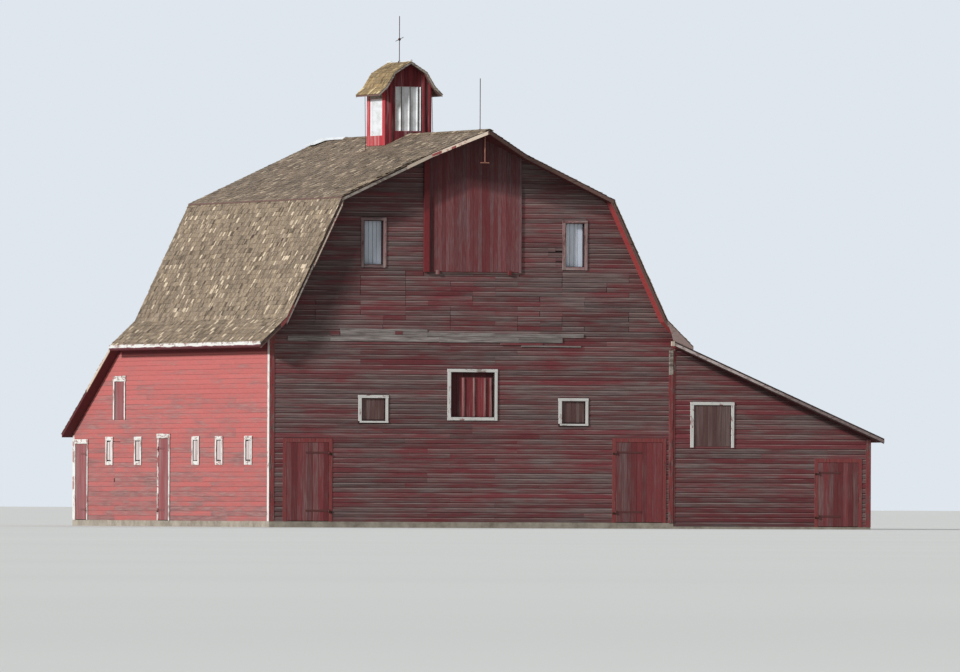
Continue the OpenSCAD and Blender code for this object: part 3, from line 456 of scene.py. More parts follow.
def shingle_wood(name, across, colors, vary=0.3):
    """Weathered shingles, with the grain down the slope; across is the axis of the rows,
    and colors are those of fresh, grey, dark and light wood."""
    tan, grey, dark, light = colors.split()
    s = Shader(name)
    bright, age, shift, _ = s.tint()
    stretch = [1 if axis == across else 0.08 for axis in "xyz"]
    streak = s.noise(60.0, 4.0, 0.6, stretch, shift)
    fine = s.noise(220.0, 3.0, 0.6, stretch, shift)
    patches = s.noise(0.7, 4.0)
    color = s.mix(age.remap(0.1, 0.9), tan, grey)
    color = s.mix(streak.remap(0.5, 0.7, 0.0, 0.85), color, light)
    color = s.mix(streak.remap(0.46, 0.32, 0.0, 0.8), color, dark)
    color = s.mix(fine.remap(0.5, 0.75, 0.0, 0.6), color, dark)
    color = s.mix(patches.remap(0.45, 0.75, 0.0, 0.35), color, dark)
    color = s.mix(bright.remap(0.93, 0.97, 0.0, 0.75), color, light)
    color = s.mix(bright.remap(0.07, 0.03, 0.0, 0.6), color, dark)
    color = s.level(color, bright, vary)
    s.finish(color, 0.9, streak * 0.6 + fine * 0.4, 0.004, 0.8, specular=0.15)


def concrete_wash():
    s = Shader("rough_concrete")
    coarse = s.noise(3.0, 6.0, 0.65)
    grains = s.noise(90.0, 3.0, 0.7)
    color = s.mix(coarse.remap(0.35, 0.7), "#b3aa9c", "#857c70")
    color = s.mix(grains.remap(0.55, 0.75, 0.0, 0.5), color, "#5f574d")
    s.finish(color, 0.95, coarse + grains * 0.4, 0.006, 0.7)


def rusty_iron(name, base, rust, amount=0.5, metallic=0.6):
    s = Shader(name)
    spots = s.noise(35.0, 5.0, 0.7)
    fine = s.noise(260.0)
    color = s.mix(spots.remap(0.7 - amount * 0.5, 0.8 - amount * 0.4), base, rust)
    color = s.mix(fine.remap(0.45, 0.7, 0.0, 0.4), color, base)
    s.finish(color, 0.65, fine, 0.0006, 0.5, metallic=metallic, specular=0.4)


def painted_sheet():
    s = Shader("white_sheet")
    stains = s.noise(5.0, 5.0, 0.6, (1, 0.4, 1))
    specks = s.noise(120.0, 3.0, 0.7)
    color = s.mix(stains.remap(0.45, 0.75), "#e9ecee", "#c3c4c2")
    color = s.mix(specks.remap(0.62, 0.75, 0.0, 0.6), color, "#8f7d6f")
    s.finish(color, 0.45, specks, 0.0004, 0.4, specular=0.5)


def make_board_paints():
    dark = {"colors": "#864246 #6c3b3f #665351 #7d6c69", "wear": 0.0, "patch": 0.9,
            "rim_highlight": 0.55, "groove_dirt_and_shadow": 0.2, "soft": 0.35, "rim_highlight_color": "#a8938d"}
    rose = {"colors": "#c36e6b #b3625e #86605f #a57d78", "wear": -0.12, "rim_highlight": 0.1, "soft": 0.3}
    # the gable's siding carries painted shadow close under the roofs' edges
    board_paint("siding_dark_x", "x", shadow_mask=front_wall_shadows, **dark)
    board_paint("siding_dark_y", "y", **dark)
    # painted shade: the left wall's boards turn deep red under the eave
    board_paint("siding_rose_y", "y", vary=0.1, groove_dirt_and_shadow=0.08, eave=(EAVE_SHADE_Z, "#7b3338"), **rose)
    board_paint("siding_rose_x", "x", vary=0.05, groove_dirt_and_shadow=0.15, **rose)
    board_paint("door_red_z", "z", "#894244 #70393b #755657 #8c6f6d", -0.14, soft=0.3,
                fineness=42.0)
    # the post beside the hay door and the hinge blocks carry the hood's painted shadow
    board_paint("bright_red_z", "z", "#923a3d #753035 #86605e #a58682", -0.1, shadow_mask=hood_shadow)
    board_paint("vent_batten_z", "z", "#9c3c40 #843338 #8f6360 #a98481", -0.15, vary=0.1)
    # near-black boards set where only shadow shows: painted shadow strips
    board_paint("painted_shadow_z", "x", "#4a2a2a #332122 #4b3b38 #6b5a56")
    board_paint("door_rose_z", "z", "#995758 #874b4d #845b5c #9d7473", -0.1, vary=0.08)
    # painted shadow of the hood and of the post on the hay door's boards
    board_paint("hay_door_z", "z", "#894143 #703639 #755557 #8d7071", -0.14, 0.6, 0.14,
                fineness=75.0, soft=0.4, shadow_mask=hay_door_shadows)
    # painted shadow of the deep frame on the loft door's boards
    board_paint("loft_door_z", "z", "#9a474a #823b40 #8c5d5c #b98f8b", -0.1,
                shadow_mask=loft_door_shadows)
    board_paint("white_boards_z", "z", "#e2d5d2 #cdbfbd #a8948f #e8e1dd", -0.1, vary=0.1)
    # bluish white: the blue cast is painted light, the skylight of shade
    board_paint("pale_boards_z", "z", "#e3eaf6 #cfd6e4 #a9b0ba #eef0f3", -0.1, vary=0.12)
    board_paint("brown_boards_z", "z", "#6c4e4b #5a4340 #705a57 #7f6b67", 0.0, vary=0.08,
                soft=0.3)
    board_paint("vent_red_z", "z", "#c04449 #a8393f #b06c6a #d09490", -0.1, vary=0.1)
    board_paint("vent_dull_z", "z", "#7e3339 #5e282e #7d585a #9c797a", -0.05, vary=0.2)
    board_paint("grey_boards_x", "x", "#978e89 #7a716d #706663 #aca39e", 0.1)
    # near-black: the wall's core shows only through gaps between boards and trims, as painted
    # shade
    board_paint("wall_core", "x", "#3c2a29 #2c2120 #3d3431 #4a403c", 0.0)
    board_paint("grey_wood", "x", "#7d716a #655a54 #8d837b #a89e94", 0.1)


def make_other_materials():
    for across in "xy":
        shingle_wood("shingles_" + across, across, "#98856f #837465 #584d42 #d0bfa6")
    # the upper slopes' shingles are darker than the lower slopes': painted shade for their dimmer
    # light
    shingle_wood("shingles_high_y", "y", "#8f7c69 #7a6d61 #52483f #b8a790", 0.36)
    shingle_wood("shingles_vent", "y", "#a98c63 #8d7a5f #635541 #d9c49a")
    # the front-facing narrow sides of the left wall's trims are painted dark: dirt on bare wood,
    # and painted shade on sides the light only grazes
    dark_edges = (on_trim_edges, "#5c3c3a")
    peeling_paint("grey_trim", "x", GREY, 0.5)
    peeling_paint("cream_trim", "x", CREAM)
    peeling_paint("brown_trim", "x", BROWN)
    peeling_paint("pink_trim", "x", PINK)
    peeling_paint("red_trim", "x", RED)
    peeling_paint("pale_trim", "x", ROSY, 0.5, extras=[(on_outer_rake, "#6d5857")])
    peeling_paint("vent_core", "z", VENT_RED, 0.35)
    peeling_paint("corner_red", "z", RED, 0.47)
    peeling_paint("white_trim_x", "x", WHITE)
    peeling_paint("white_jambs_z", "z", WHITE)
    peeling_paint("white_trim_y", "y", WHITE, 0.49, extras=[dark_edges])
    peeling_paint("white_trim_z", "z", WHITE, 0.47, extras=[dark_edges])
    # the left upper window's frame is darker on its left: painted shadow of the roof's edge
    for grain in "xz":
        peeling_paint("worn_trim_" + grain, grain, WORN, 0.5, extras=[(left_frame_shadow, "#37333a")])
    peeling_paint("barge_paint", "x", BROWN, second=(on_rear_leanto, CREAM, 0.42))
    # painted shade along the foot of the left eave's fascia
    peeling_paint("fascia_paint", "y", WHITE, second=(on_right_side, BROWN, 0.42),
                  extras=[(fascia_foot_shade, "#66343a")])
    peeling_paint("corner_paint", "z", WHITE, 0.4, (on_red_corners, RED, 0.47),
                  [(on_rear_corner, "#b3897f")])
    # on the gable the trims are near-black maroon, so the strips the outer boards leave bare read
    # as painted shadow lines
    peeling_paint("window_trim_paint", "z", WHITE, second=(on_high_windows, RED, 0.42),
                  extras=[dark_edges, (on_gable, "#3a2527")])
    peeling_paint("door_trim_paint", "z", WHITE, 0.47, (on_gable, RED, 0.4),
                  [(on_lost_trim, "#a4605c"), dark_edges])
    rusty_iron("dark_iron", "#2d2826", "#6b4334")
    rusty_iron("painted_iron", "#6a3a3a", "#5a3a35", 0.5, 0.2)
    rusty_iron("rose_iron", "#8a4f50", "#77494a", 0.6, 0.1)
    rusty_iron("track_iron", "#8d5f55", "#b98470", 0.6, 0.3)
    roof_core()
    concrete_wash()
    painted_sheet()


# What each CAD node wears
DRESS = {
    "rough_concrete": "foundation_ends foundation_sides",
    "wall_core": "front_wall_lower front_wall_upper left_wall right_wall rear_gable_wall "
                 "leanto_front_wall leanto_side_wall leanto_rear_wall rear_leanto_wall "
                 "door_lintels stall_window_boards upper_window_boards shutters",
    "roof_core": "roof_upper_left roof_upper_right roof_lower_left roof_lower_right "
                 "roof_flares leanto_roof rear_leanto_roof",
    "brown_trim": "vent_roof",
    "white_sheet": "ridge_flashing vent_panels",
    "barge_paint": "barge_boards",
    "fascia_paint": "eave_fascias",
    "corner_paint": "corner_boards",
    "window_trim_paint": "window_trims",
    "door_trim_paint": "door_trims",
    "door_red_z": "hay_door loft_doors",
    "grey_wood": "loft_floor beams posts",
    "vent_core": "vent_sides vent_ends",
    "dark_iron": "roof_rods hinge_pins",
    "track_iron": "hay_track",
}


def dress_nodes():
    for material, names in DRESS.items():
        for name in names.split():
            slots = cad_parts[name].data.materials
            slots.clear()
            slots.append(MATERIALS[material])


# Mesh helpers

class Piece:
    """Gathers closed solids into one mesh; each face carries the shade of its solid."""

    def __init__(self):
        self.verts = []
        self.faces = []
        self.shades = []

    def add(self, verts, faces, shades):
        base = len(self.verts)
        self.verts.extend(verts)
        self.faces.extend([tuple(base + i for i in face) for face in faces])
        self.shades.extend(shades)

    def loft(self, rings, shade, lights=None):
        """A closed solid through outlines with the same number of points. lights
        gives the fourth value of the shade for each side of the outline."""
        first = np.array(rings[0])
        step = np.array(rings[1]).mean(0) - first.mean(0)
        turned = np.cross(first, np.roll(first, -1, 0)).sum(0)
        n = len(first)
        lights = lights or [0.0] * n
        if turned @ step < 0:
            rings = [list(ring)[::-1] for ring in rings]
            lights = [*lights[-2::-1], lights[-1]]
        faces = [tuple(range(n - 1, -1, -1))]
        shades = [(*shade, 0.0)]
        last = (len(rings) - 1) * n
        for a in range(0, last, n):
            for i in range(n):
                j = (i + 1) % n
                faces.append((a + i, a + j, a + n + j, a + n + i))
                shades.append((*shade, lights[i]))
        faces.append(tuple(range(last, last + n)))
        shades.append((*shade, 0.0))
        self.add([tuple(p) for ring in rings for p in ring], faces, shades)

    def prism(self, place, outline, depths, shade):
        """An outline in a wall's own directions, drawn out between two depths."""
        self.loft([[place(u, v, w) for u, v in outline] for w in depths], shade)

    def board(self, place, u0, u1, v0, v1, w0, w1, shade, bevel=0.0025):
        """A board with eased front edges, drawn in a wall's own directions."""
        b = min(bevel, (u1 - u0) / 4, (v1 - v0) / 4)
        self.loft([[place(u, v, w) for u, v in ((u0 + e, v0 + e), (u1 - e, v0 + e),
                                                (u1 - e, v1 - e), (u0 + e, v1 - e))]
                   for w, e in ((w0, 0.0), (w1 - b, 0.0), (w1, b))], shade)

    def rod(self, points, radius, shade, sides=8):
        """A round bar along points."""
        points = [Vector(p) for p in points]
        rings = []
        for k, p in enumerate(points):
            ahead = points[min(k + 1, len(points) - 1)] - points[max(k - 1, 0)]
            ahead.normalize()
            side = ahead.orthogonal().normalized()
            if rings:
                side = last_side - ahead * last_side.dot(ahead)
                side.normalize()
            last_side = side
            other = ahead.cross(side)
            rings.append([p + radius * (side * math.cos(t) + other * math.sin(t))
                          for t in turns(sides)])
        self.loft(rings, shade)

    def make(self, name, material, slot, body="barn", replaces=()):
        mesh = bpy.data.meshes.new(name)
        mesh.from_pydata(self.verts, [], self.faces)
        layer = mesh.color_attributes.new("tint", "FLOAT_COLOR", "CORNER")
        sizes = [len(face) for face in self.faces]
        values = np.repeat(np.array(self.shades, np.float32), sizes, axis=0)
        layer.data.foreach_set("color", values.ravel())
        mesh.materials.append(MATERIALS[material])
        mesh.update()
        obj = show(bpy.data.objects.new(name, mesh))
        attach(obj, body)
        if replaces:
            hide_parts(*replaces)


def show(obj):
    bpy.context.scene.collection.objects.link(obj)
    return obj


def turns(sides):
    """Angles that share out a full turn."""
    return [2 * math.pi * i / sides for i in range(sides)]


def tint(rng, worn=0.5, spread=0.3):
    """Random brightness, wear round a middle value, and texture shift."""
    return (rng.random(), min(1.0, max(0.0, worn + rng.uniform(-spread, spread))), rng.random())


# Wall directions: u along the wall, v up, w out of its face, which looks towards way

def wall_x(x, way):
    return lambda u, v, w: (x + way * w, u, v)


def wall_y(y, way):
    return lambda u, v, w: (u, y + way * w, v)


on_front = wall_y(0.0, -1)
on_left = wall_x(-HALF_W, -1)


def on_slope(top, foot, side):
    """Directions on a roof slope: u along Y, v down from its top edge, w out of it."""
    down = Vector((side * (foot[0] - top[0]), 0, foot[1] - top[1])).normalized()
    out = Vector((-down.z * side, 0, down.x * side))
    start = Vector((side * top[0], 0, top[1]))
    return lambda u, v, w: start + down * v + out * w + Vector((0, u, 0))


def as_function(value):
    return value if callable(value) else lambda _: value


def under_roof_x(z):
    """Half width of the main gable at height z."""
    for (x0, z0), (x1, z1) in zip(UNDER_ROOF, UNDER_ROOF[1:]):
        if z > z1:
            return min(HALF_W, max(0.0, x0 + (z0 - z) * (x1 - x0) / (z0 - z1)))
    return HALF_W


def side_roof_x(z):
    """How far out the side lean-to's gable walls reach at height z."""
    return min(SIDE_X, SIDE_TIP[0] - (z + SIDE_ROOF_V - SIDE_TIP[1]) / SIDE_SLOPE)


def rear_roof_y(z):
    """How far back the long side walls reach at height z."""
    if z > WALL_TOP_Z:
        return 0.0
    return min(REAR_Y, REAR_TIP[0] - (z + LEAN_ROOF_V - REAR_TIP[1]) / REAR_SLOPE)


def at_roof(x, profile=(RIDGE, BREAK, FLARE, EAVE)):
    """Height of a roof's top at a distance x from its ridge."""
    for (x0, z0), (x1, z1) in zip(profile, profile[1:]):
        if abs(x) <= x1 + 1e-6:
            return z0 + (abs(x) - x0) * (z1 - z0) / (x1 - x0)
    return profile[-1][1]


def hood_y(x):
    """How far forward the hood's edge reaches at a distance x from the ridge."""
    return ROOF_Y0 + (HOOD_TIP_Y - ROOF_Y0) * (1 - abs(x) / HOOD_HALF_W)


# Siding

def free_parts(v0, v1, u0, u1, holes):
    """What is left of a course of boards beside, over and under the holes."""
    near = [h for h in holes if h[2] < v1 and h[3] > v0 and h[0] < u1 and h[1] > u0]
    cuts = sorted({u0, u1, *[min(max(e, u0), u1) for h in near for e in h[:2]]})
    parts = []
    for a, b in zip(cuts, cuts[1:]):
        spans = [(v0, v1)]
        for h in near:
            if h[0] < (a + b) / 2 < h[1]:
                left = [s for lo, hi in spans for s in ((lo, min(hi, h[2])), (max(lo, h[3]), hi))]
                spans = [s for s in left if s[1] - s[0] > 0.012]
        for span in spans:
            joined = next((p for p in parts if p[1] == a and p[2:] == span), None)
            if joined:
                parts[parts.index(joined)] = (joined[0], b, *span)
            else:
                parts.append((a, b, *span))
    return parts


def siding_board(piece, place, left, right, v0, v1, base, rng, shade, cove):
    """One board of drop siding from v0 to v1; left and right are its ends at its
    lower and upper edge, base the foot of its course and cove how deep its upper
    edge lies, as a share of its thickness."""
    back = -0.003
    va, vd = v0 + rng.uniform(0.0008, 0.003), v1 - 0.001
    vb = min(max(base + 0.66 * SIDING_PITCH, va + 0.001), vd - 0.002)
    vc = min(max(base + 0.81 * SIDING_PITCH, vb + 0.0005), vd - 0.001)
    outline = [(back, va), (SIDING_T, va), (SIDING_T, vb), ((1 - 0.8 * cove) * SIDING_T, vc),
               ((1 - cove) * SIDING_T, vd), (back, vd)]
    # the cove face gets 0.4 and the recess over it 1.0: where the board paint puts its painted
    # highlight and painted shadow
    lights = [0.0, 0.0, 0.4, 1.0, 0.0, 0.0]
    start, end = max(left), min(right)
    count = max(1, int((end - start) / 0.5))
    middles = [start + (end - start) * (k + rng.uniform(-0.2, 0.2)) / count
               for k in range(1, count)]
    rings = []
    for low_u, high_u in (left, *[(u, u) for u in middles], right):
        dv = rng.uniform(-0.0012, 0.0012)
        dw = rng.uniform(-0.0015, 0.001)
        rings.append([place(low_u + (high_u - low_u) * (v - va) / (vd - va), v + dv,
                            w + (dw if w > 0 else 0)) for w, v in outline])
    piece.loft(rings, shade, lights)


def board_ends(a, b, lengths, rng):
    """Ends of the boards from a to b, on studs of the wall."""
    ends = [a]
    while b - ends[-1] > lengths[1]:
        joint = ends[-1] + rng.uniform(*lengths)
        ends.append(max(round(joint / STUD_PITCH) * STUD_PITCH, ends[-1] + SHORTEST_BOARD))
    if b - ends[-1] < SHORTEST_BOARD and len(ends) > 1:
        ends.pop()
    return [*ends, b]


def lay_siding(name, paint, place, low, high, v0, v1, seed, wear, holes=(), patched=None,
               cove=0.52):
    """Courses of siding over a wall: low and high give its ends at a height. patched is
    a band of heights with shorter boards and wider joints, and their lengths."""
    low, high = as_function(low), as_function(high)
    rng = random.Random(seed)
    piece = Piece()
    v = v0
    while v < v1 - 0.02:
        top = min(v + SIDING_PITCH, v1)
        outer = (min(low(v), low(top)), max(high(v), high(top)))
        if high(top) - low(top) < 0.05:
            top = v + SIDING_PITCH * 0.5
            if high(top) - low(top) < 0.05:
                break
        mended = patched and patched[0][0] < v < patched[0][1]
        for a, b, va, vb in free_parts(v, top, *outer, holes):
            ends = board_ends(a, b, patched[1] if mended else BOARD_LENGTHS, rng)
            for ua, ub in zip(ends, ends[1:]):
                joint = rng.uniform(0.001, 0.003)
                if mended and rng.random() < 0.6:
                    joint = rng.uniform(0.008, 0.018)
                left = (low(va), low(vb)) if ua == outer[0] else (ua, ua)
                right = (high(va), high(vb)) if ub == outer[1] else (ub - joint, ub - joint)
                if min(right[0] - left[0], right[1] - left[1]) < 0.01:
                    continue
                shade = wear(rng, (ua + ub) / 2, (va + vb) / 2)
                siding_board(piece, place, left, right, va, vb, v, rng, shade, cove)
        v += SIDING_PITCH
    piece.make("siding_" + name, "siding_" + paint, "siding_" + paint[:4])


def hole(d, foot_trim=True):
    """The part of a wall where no siding goes: up to the middle of the trims."""
    out = TRIM_W * 0.5
    a, b = edges(d)
    return (a - out, b + out, d[2] - (out if foot_trim else 0.0), d[3] + out)


def bump(value, middle, width):
    """1 at the middle, falling off to both sides."""
    return math.exp(-((value - middle) / width) ** 2)


def gable_wear(rng, x, z):
    worn = 0.60 - 0.22 * bump(z, 4.25, 0.35) * bump(x, 1.0, 3.0)
    worn -= 0.3 * bump(z, 5.75, 0.3) * bump(x, -2.0, 1.6)
    worn += 0.12 * bump(z, 3.3, 0.5) - 0.14 * bump(z, 1.6, 0.9)
    worn += 0.08 * bump(z, 6.6, 0.5)
    return tint(rng, worn, 0.22)


def leanto_wear(rng, x, z):
    return tint(rng, 0.40 if z > 2.0 else 0.48, 0.28)


def rose_wear(rng, y, z):
    if 5.1 < y < 6.6 and 3.12 < z < 3.3:
        return tint(rng, 1.0, 0.1)
    _, worn, shift = tint(rng, 0.76 - 0.13 * z + 0.1 * bump(y, 10.5, 2.5), 0.24)
    return (min(1.0, 0.14 * z + 0.4 * rng.random()), worn, shift)


def plain_wear(rng, u, v):
    return tint(rng, 0.5, 0.32)


def build_siding():
    """The siding of every wall, one piece for each."""
    gable_holes = [hole(d) for d in (*UPPER_WINDOWS, *LOW_WINDOWS, LOFT_DOOR)]
    gable_holes += [hole(d, False) for d in (GABLE_LEFT, GABLE_RIGHT)]
    gable_holes += [(HAY_POST_X[0] + 0.02, HAY_DOOR_X[1] - 0.02, HAY_DOOR_Z + 0.02, 11.0)]
    split_boards = [(2.04, 2.24, 7.02, 7.045), (2.24, 2.63, 7.02, 7.07), (2.25, 2.63, 6.77, 6.80)]
    left_holes = [hole(d) for d in STALL_WINDOWS]
    left_holes += [hole(d, False) for d in (STABLE_MIDDLE, STABLE_REAR, SIDE_LOFT)]
    knots = [(11.56, 11.65, 1.14, 1.24), (11.56, 11.75, 2.185, 2.20), (11.15, 11.56, 2.18, 2.192)]
    side_holes = [hole(LEANTO_DOOR, False), hole(HATCH, False)]
    rear, low_z = wall_y(BARN_L, 1), SIDE_FOUNDATION_H
    lay_siding("front", "dark_x", on_front, lambda z: -under_roof_x(z), under_roof_x,
               FOUNDATION_H, 10.0, 11, gable_wear, gable_holes + split_boards,
               ((5.0, 6.45), (0.6, 2.1)))
    lay_siding("left", "rose_y", on_left, 0.0, rear_roof_y, FOUNDATION_H, WALL_TOP_Z, 12,
               rose_wear, left_holes + knots, cove=0.28)
    lay_siding("right_rear", "dark_y", wall_x(HALF_W, 1), BARN_L, rear_roof_y, FOUNDATION_H,
               4.7, 13, plain_wear)
    lay_siding("rear_gable", "dark_x", rear, lambda z: -under_roof_x(z), under_roof_x, 4.98,
               10.0, 14, plain_wear)
    lay_siding("leanto_front", "dark_x", on_front, HALF_W, side_roof_x, low_z, 4.6, 15,
               leanto_wear, side_holes)
    lay_siding("leanto_side", "dark_y", wall_x(SIDE_X, 1), 0.0, BARN_L, low_z, 2.3, 16,
               plain_wear)
    lay_siding("leanto_rear", "dark_x", rear, HALF_W, side_roof_x, low_z, 4.6, 17, plain_wear)
    lay_siding("rear_leanto", "rose_x", wall_y(REAR_Y, 1), -HALF_W, HALF_W, FOUNDATION_H, 2.38,
               18, rose_wear)


# Shingles

def lay_shingles(foot, up, along, length, span, seed, over=0.012, lost=0.004, ragged=0.012,
                 curl=0.006, exposure=SHINGLE_EXPOSURE, widths=(0.06, 0.14)):
    """Rows of wedge shingles up a slope. foot is the point of its lower edge where
    along is 0; span(s) gives the ends of the row at s up the slope. over is how far
    the first row hangs over, and lost the share of shingles that are gone."""
    rng = random.Random(seed)
    foot, up, along = Vector(foot), Vector(up).normalized(), Vector(along)
    normal = along.cross(up).normalized()
    if normal.z < 0:
        normal = -normal
    piece = Piece()
    s = -over
    while s < length - 0.03:
        first = s < 0
        top = min(s + exposure * 1.2, length)
        start, end = span(max(s, 0.0))
        start_top, end_top = span(top)
        a = start
        while a < end - 0.015:
            width = min(rng.uniform(*widths), end - a)
            b = end if end - a - width < 0.04 else a + width
            high = (start_top if a == start else a, end_top if b == end else b)
            if first or rng.random() > lost:
                rough = (0.0, 0.0015) if first else (ragged, curl)
                add_shingle(piece, rng, (foot, up, along, normal), (a, b), high, s, top, *rough)
            a = b
        s += exposure
    return piece


def add_shingle(piece, rng, slope_axes, low, high, s, top, ragged, curl):
    """One shingle from s to top up the slope; low and high are its sides there."""
    foot, up, along, normal = slope_axes
    gap = rng.uniform(0.001, 0.0035)
    edge = s - rng.uniform(0.0, ragged)
    skew = rng.uniform(-0.3, 0.3) * ragged
    rise = 0.002 + (rng.uniform(0.3, 1.0) * curl * 2 if rng.random() < 0.12
                    else rng.uniform(0.0, curl * 0.5))
    thick = rng.uniform(0.008, 0.012) if ragged else 0.009
    corners = [(low[0] + gap, edge + skew), (low[1] - gap, edge - skew), (high[1] - gap, top),
               (high[0] + gap, top)]
    under = (rise, rise, 0.0, 0.0)
    over = (rise + thick, rise + thick * rng.uniform(0.8, 1.0), 0.003, 0.003)
    rings = [[foot + along * p + up * q + normal * h for (p, q), h in zip(corners, heights)]
             for heights in (under, over)]
    piece.loft(rings, tint(rng, 0.5, 0.45))


def slope(top, foot, side):
    """Lower point, direction and axis of the rows of a slope, and its length."""
    x0, z0 = foot[0] * side, foot[1]
    x1, z1 = top[0] * side, top[1]
    return (x0, 0, z0), (x1 - x0, 0, z1 - z0), (0, 1, 0), math.hypot(x1 - x0, z1 - z0)


def rake_spans(front, rear, seed):
    """Ends of the shingle rows that reach unevenly past both roof edges."""
    rng = random.Random(seed)
    front = as_function(front)
    jags = [(rng.uniform(0.006, 0.024), rng.uniform(0.006, 0.022)) for _ in range(64)]

    def span(s):
        a, b = jags[int(s / SHINGLE_EXPOSURE) % 64]
        return front(s) - a, rear + b
    return span


def build_shingles():
    """All roofs, one piece for each slope."""
    for side, word in ((-1, "left"), (1, "right")):
        *axes, run = slope(RIDGE, BREAK, side)

        def hood_front(s, run=run):
            x = BREAK[0] * (1 - min(s / run, 1.0))
            return max(hood_y(x), HOOD_TIP_Y + 0.026) if x < HOOD_HALF_W else ROOF_Y0

        lay_shingles(*axes, run, rake_spans(hood_front, ROOF_Y1, 24 + side), 21 + side, 0.03,
                     ragged=0.015).make("shingles_upper_" + word, "shingles_high_y", "shingles")
        *axes, run = slope(BREAK, FLARE, side)
        lay_shingles(*axes, run - 0.005, rake_spans(ROOF_Y0, ROOF_Y1, 34 + side), 31 + side,
                     0.02, 0.006, 0.03, 0.009
                     ).make("shingles_lower_" + word, "shingles_y", "shingles")
        *axes, run = slope(FLARE, EAVE, side)
        lay_shingles(*axes, run, rake_spans(ROOF_Y0, ROOF_Y1, 44 + side), 41 + side, 0.004,
                     0.0, 0.02, 0.008).make("shingles_flare_" + word, "shingles_y", "shingles")
    run = (SIDE_TIP[0] - 5.62) * math.hypot(1, SIDE_SLOPE)
    lay_shingles((SIDE_TIP[0], 0, SIDE_TIP[1]), (-1, 0, SIDE_SLOPE), (0, 1, 0), run,
                 rake_spans(ROOF_Y0, ROOF_Y1, 53), 51, 0.005
                 ).make("shingles_leanto", "shingles_y", "shingles")
    run = (REAR_TIP[0] - 10.98) * math.hypot(1, REAR_SLOPE)
    lay_shingles((0, *REAR_TIP), (0, -1, REAR_SLOPE), (1, 0, 0), run,
                 rake_spans(-REAR_HALF_W, REAR_HALF_W, 54), 52, 0.004, ragged=0.02
                 ).make("shingles_rear_leanto", "shingles_x", "shingles")


def build_vent_shingles():
    """The vent's own roof: two slopes and a flare on each side, as one piece."""
    piece = Piece()
    ends = (VENT_ROOF_Y[0] - 0.012, VENT_ROOF_Y[1] + 0.012)
    for side in (-1, 1):
        for k, (top, foot) in enumerate(zip(VENT_PROFILE, VENT_PROFILE[1:])):
            part = lay_shingles(*slope(top, foot, side), lambda s: ends, 71 + 3 * k + side,
                                0.015, 0.0, 0.012, 0.004, 0.105, (0.07, 0.15))
            piece.add(part.verts, part.faces, part.shades)
    piece.make("vent_shingles", "shingles_vent", "shingles")


# Upright boards

def upright_boards(piece, place, u0, u1, foot, top, w0, w1, rng, width=0.14, gap=0.004,
                   worn=0.5, spread=0.3, ragged=0.0):
    """Boards side by side from u0 to u1. foot and top are heights, or functions of u."""
    shares = [rng.uniform(0.85, 1.15) for _ in range(max(1, round((u1 - u0) / width)))]
    u = u0
    for share in shares:
        wide = (u1 - u0) * share / sum(shares)
        a, b = u + gap / 2, u + wide - gap / 2
        low, high = rng.uniform(0, ragged), rng.uniform(0, ragged)
        shade = tint(rng, worn, spread)
        out = w1 + rng.uniform(-0.0015, 0.0015)
        if callable(foot) or callable(top):
            outline = edge_outline(a, b, as_function(foot), as_function(top), low, high)
            piece.prism(place, outline, (w0, out), shade)
        else:
            piece.board(place, a, b, foot + low, top - high, w0, out, shade)
        u += wide


def edge_outline(a, b, foot, top, low=0.0, high=0.0):
    """Outline from a to b between two functions, drawn in by low and high."""
    return [(a, foot(a) + low), (b, foot(b) + low), (b, top(b) - high), (a, top(a) - high)]


def roof_under_z(x):
    """Underside of the upper roof slope over the hay door."""
    return UNDER_ROOF[0][1] - abs(x) * ROOF_RISE - 0.002


def build_hay_door():
    rng = random.Random(61)
    x0, x1 = HAY_DOOR_X
    door, edge, post, blocks, foot = (Piece() for _ in range(5))
    for a, b in ((x0 + 0.01, 0.0), (0.0, x1 - 0.055)):
        upright_boards(door, on_front, a, b, HAY_DOOR_Z + 0.012, roof_under_z, 0.03, 0.044,
                       rng, 0.115, 0.006, 0.55, 0.22, 0.008)
    upright_boards(edge, on_front, x1 - 0.053, x1 + 0.012, HAY_DOOR_Z - 0.01, roof_under_z,
                   0.03, 0.05, rng, 0.065, 0.002, 1.0, 0.0)
    upright_boards(post, on_front, HAY_POST_X[0] - 0.004, HAY_POST_X[1] + 0.004, HAY_DOOR_Z,
                   roof_under_z, 0.05, 0.088, rng, 0.148, 0.001, 0.2, 0.1)
    for u in (-0.98, 0.98):
        blocks.board(on_front, u - 0.045, u + 0.045, HAY_DOOR_Z - 0.06, HAY_DOOR_Z + 0.05,
                     0.016, 0.068, tint(rng))
    # a dark board along the door's foot: painted shadow of the gap under the door
    foot.board(on_front, x0 - 0.02, x1, HAY_DOOR_Z - 0.045, HAY_DOOR_Z + 0.008, 0.016, 0.036,
               tint(rng, 0.9, 0.1))
    door.make("hay_door_boards", "hay_door_z", "door_red")
    edge.make("hay_door_edge", "hay_door_z", "door_red")
    post.make("hay_door_post", "bright_red_z", "door_red")
    blocks.make("hay_door_hinges", "bright_red_z", "door_red")
    foot.make("hay_door_foot", "painted_shadow_z", "door_red")


def fill_opening(piece, place, d, sides, ends, depths, rng, *look):
    """Upright boards in an opening, back from its sides and its ends."""
    a, b = edges(d)
    upright_boards(piece, place, a + sides, b - sides, d[2] + ends[0], d[3] - ends[1], *depths,
                   rng, *look)


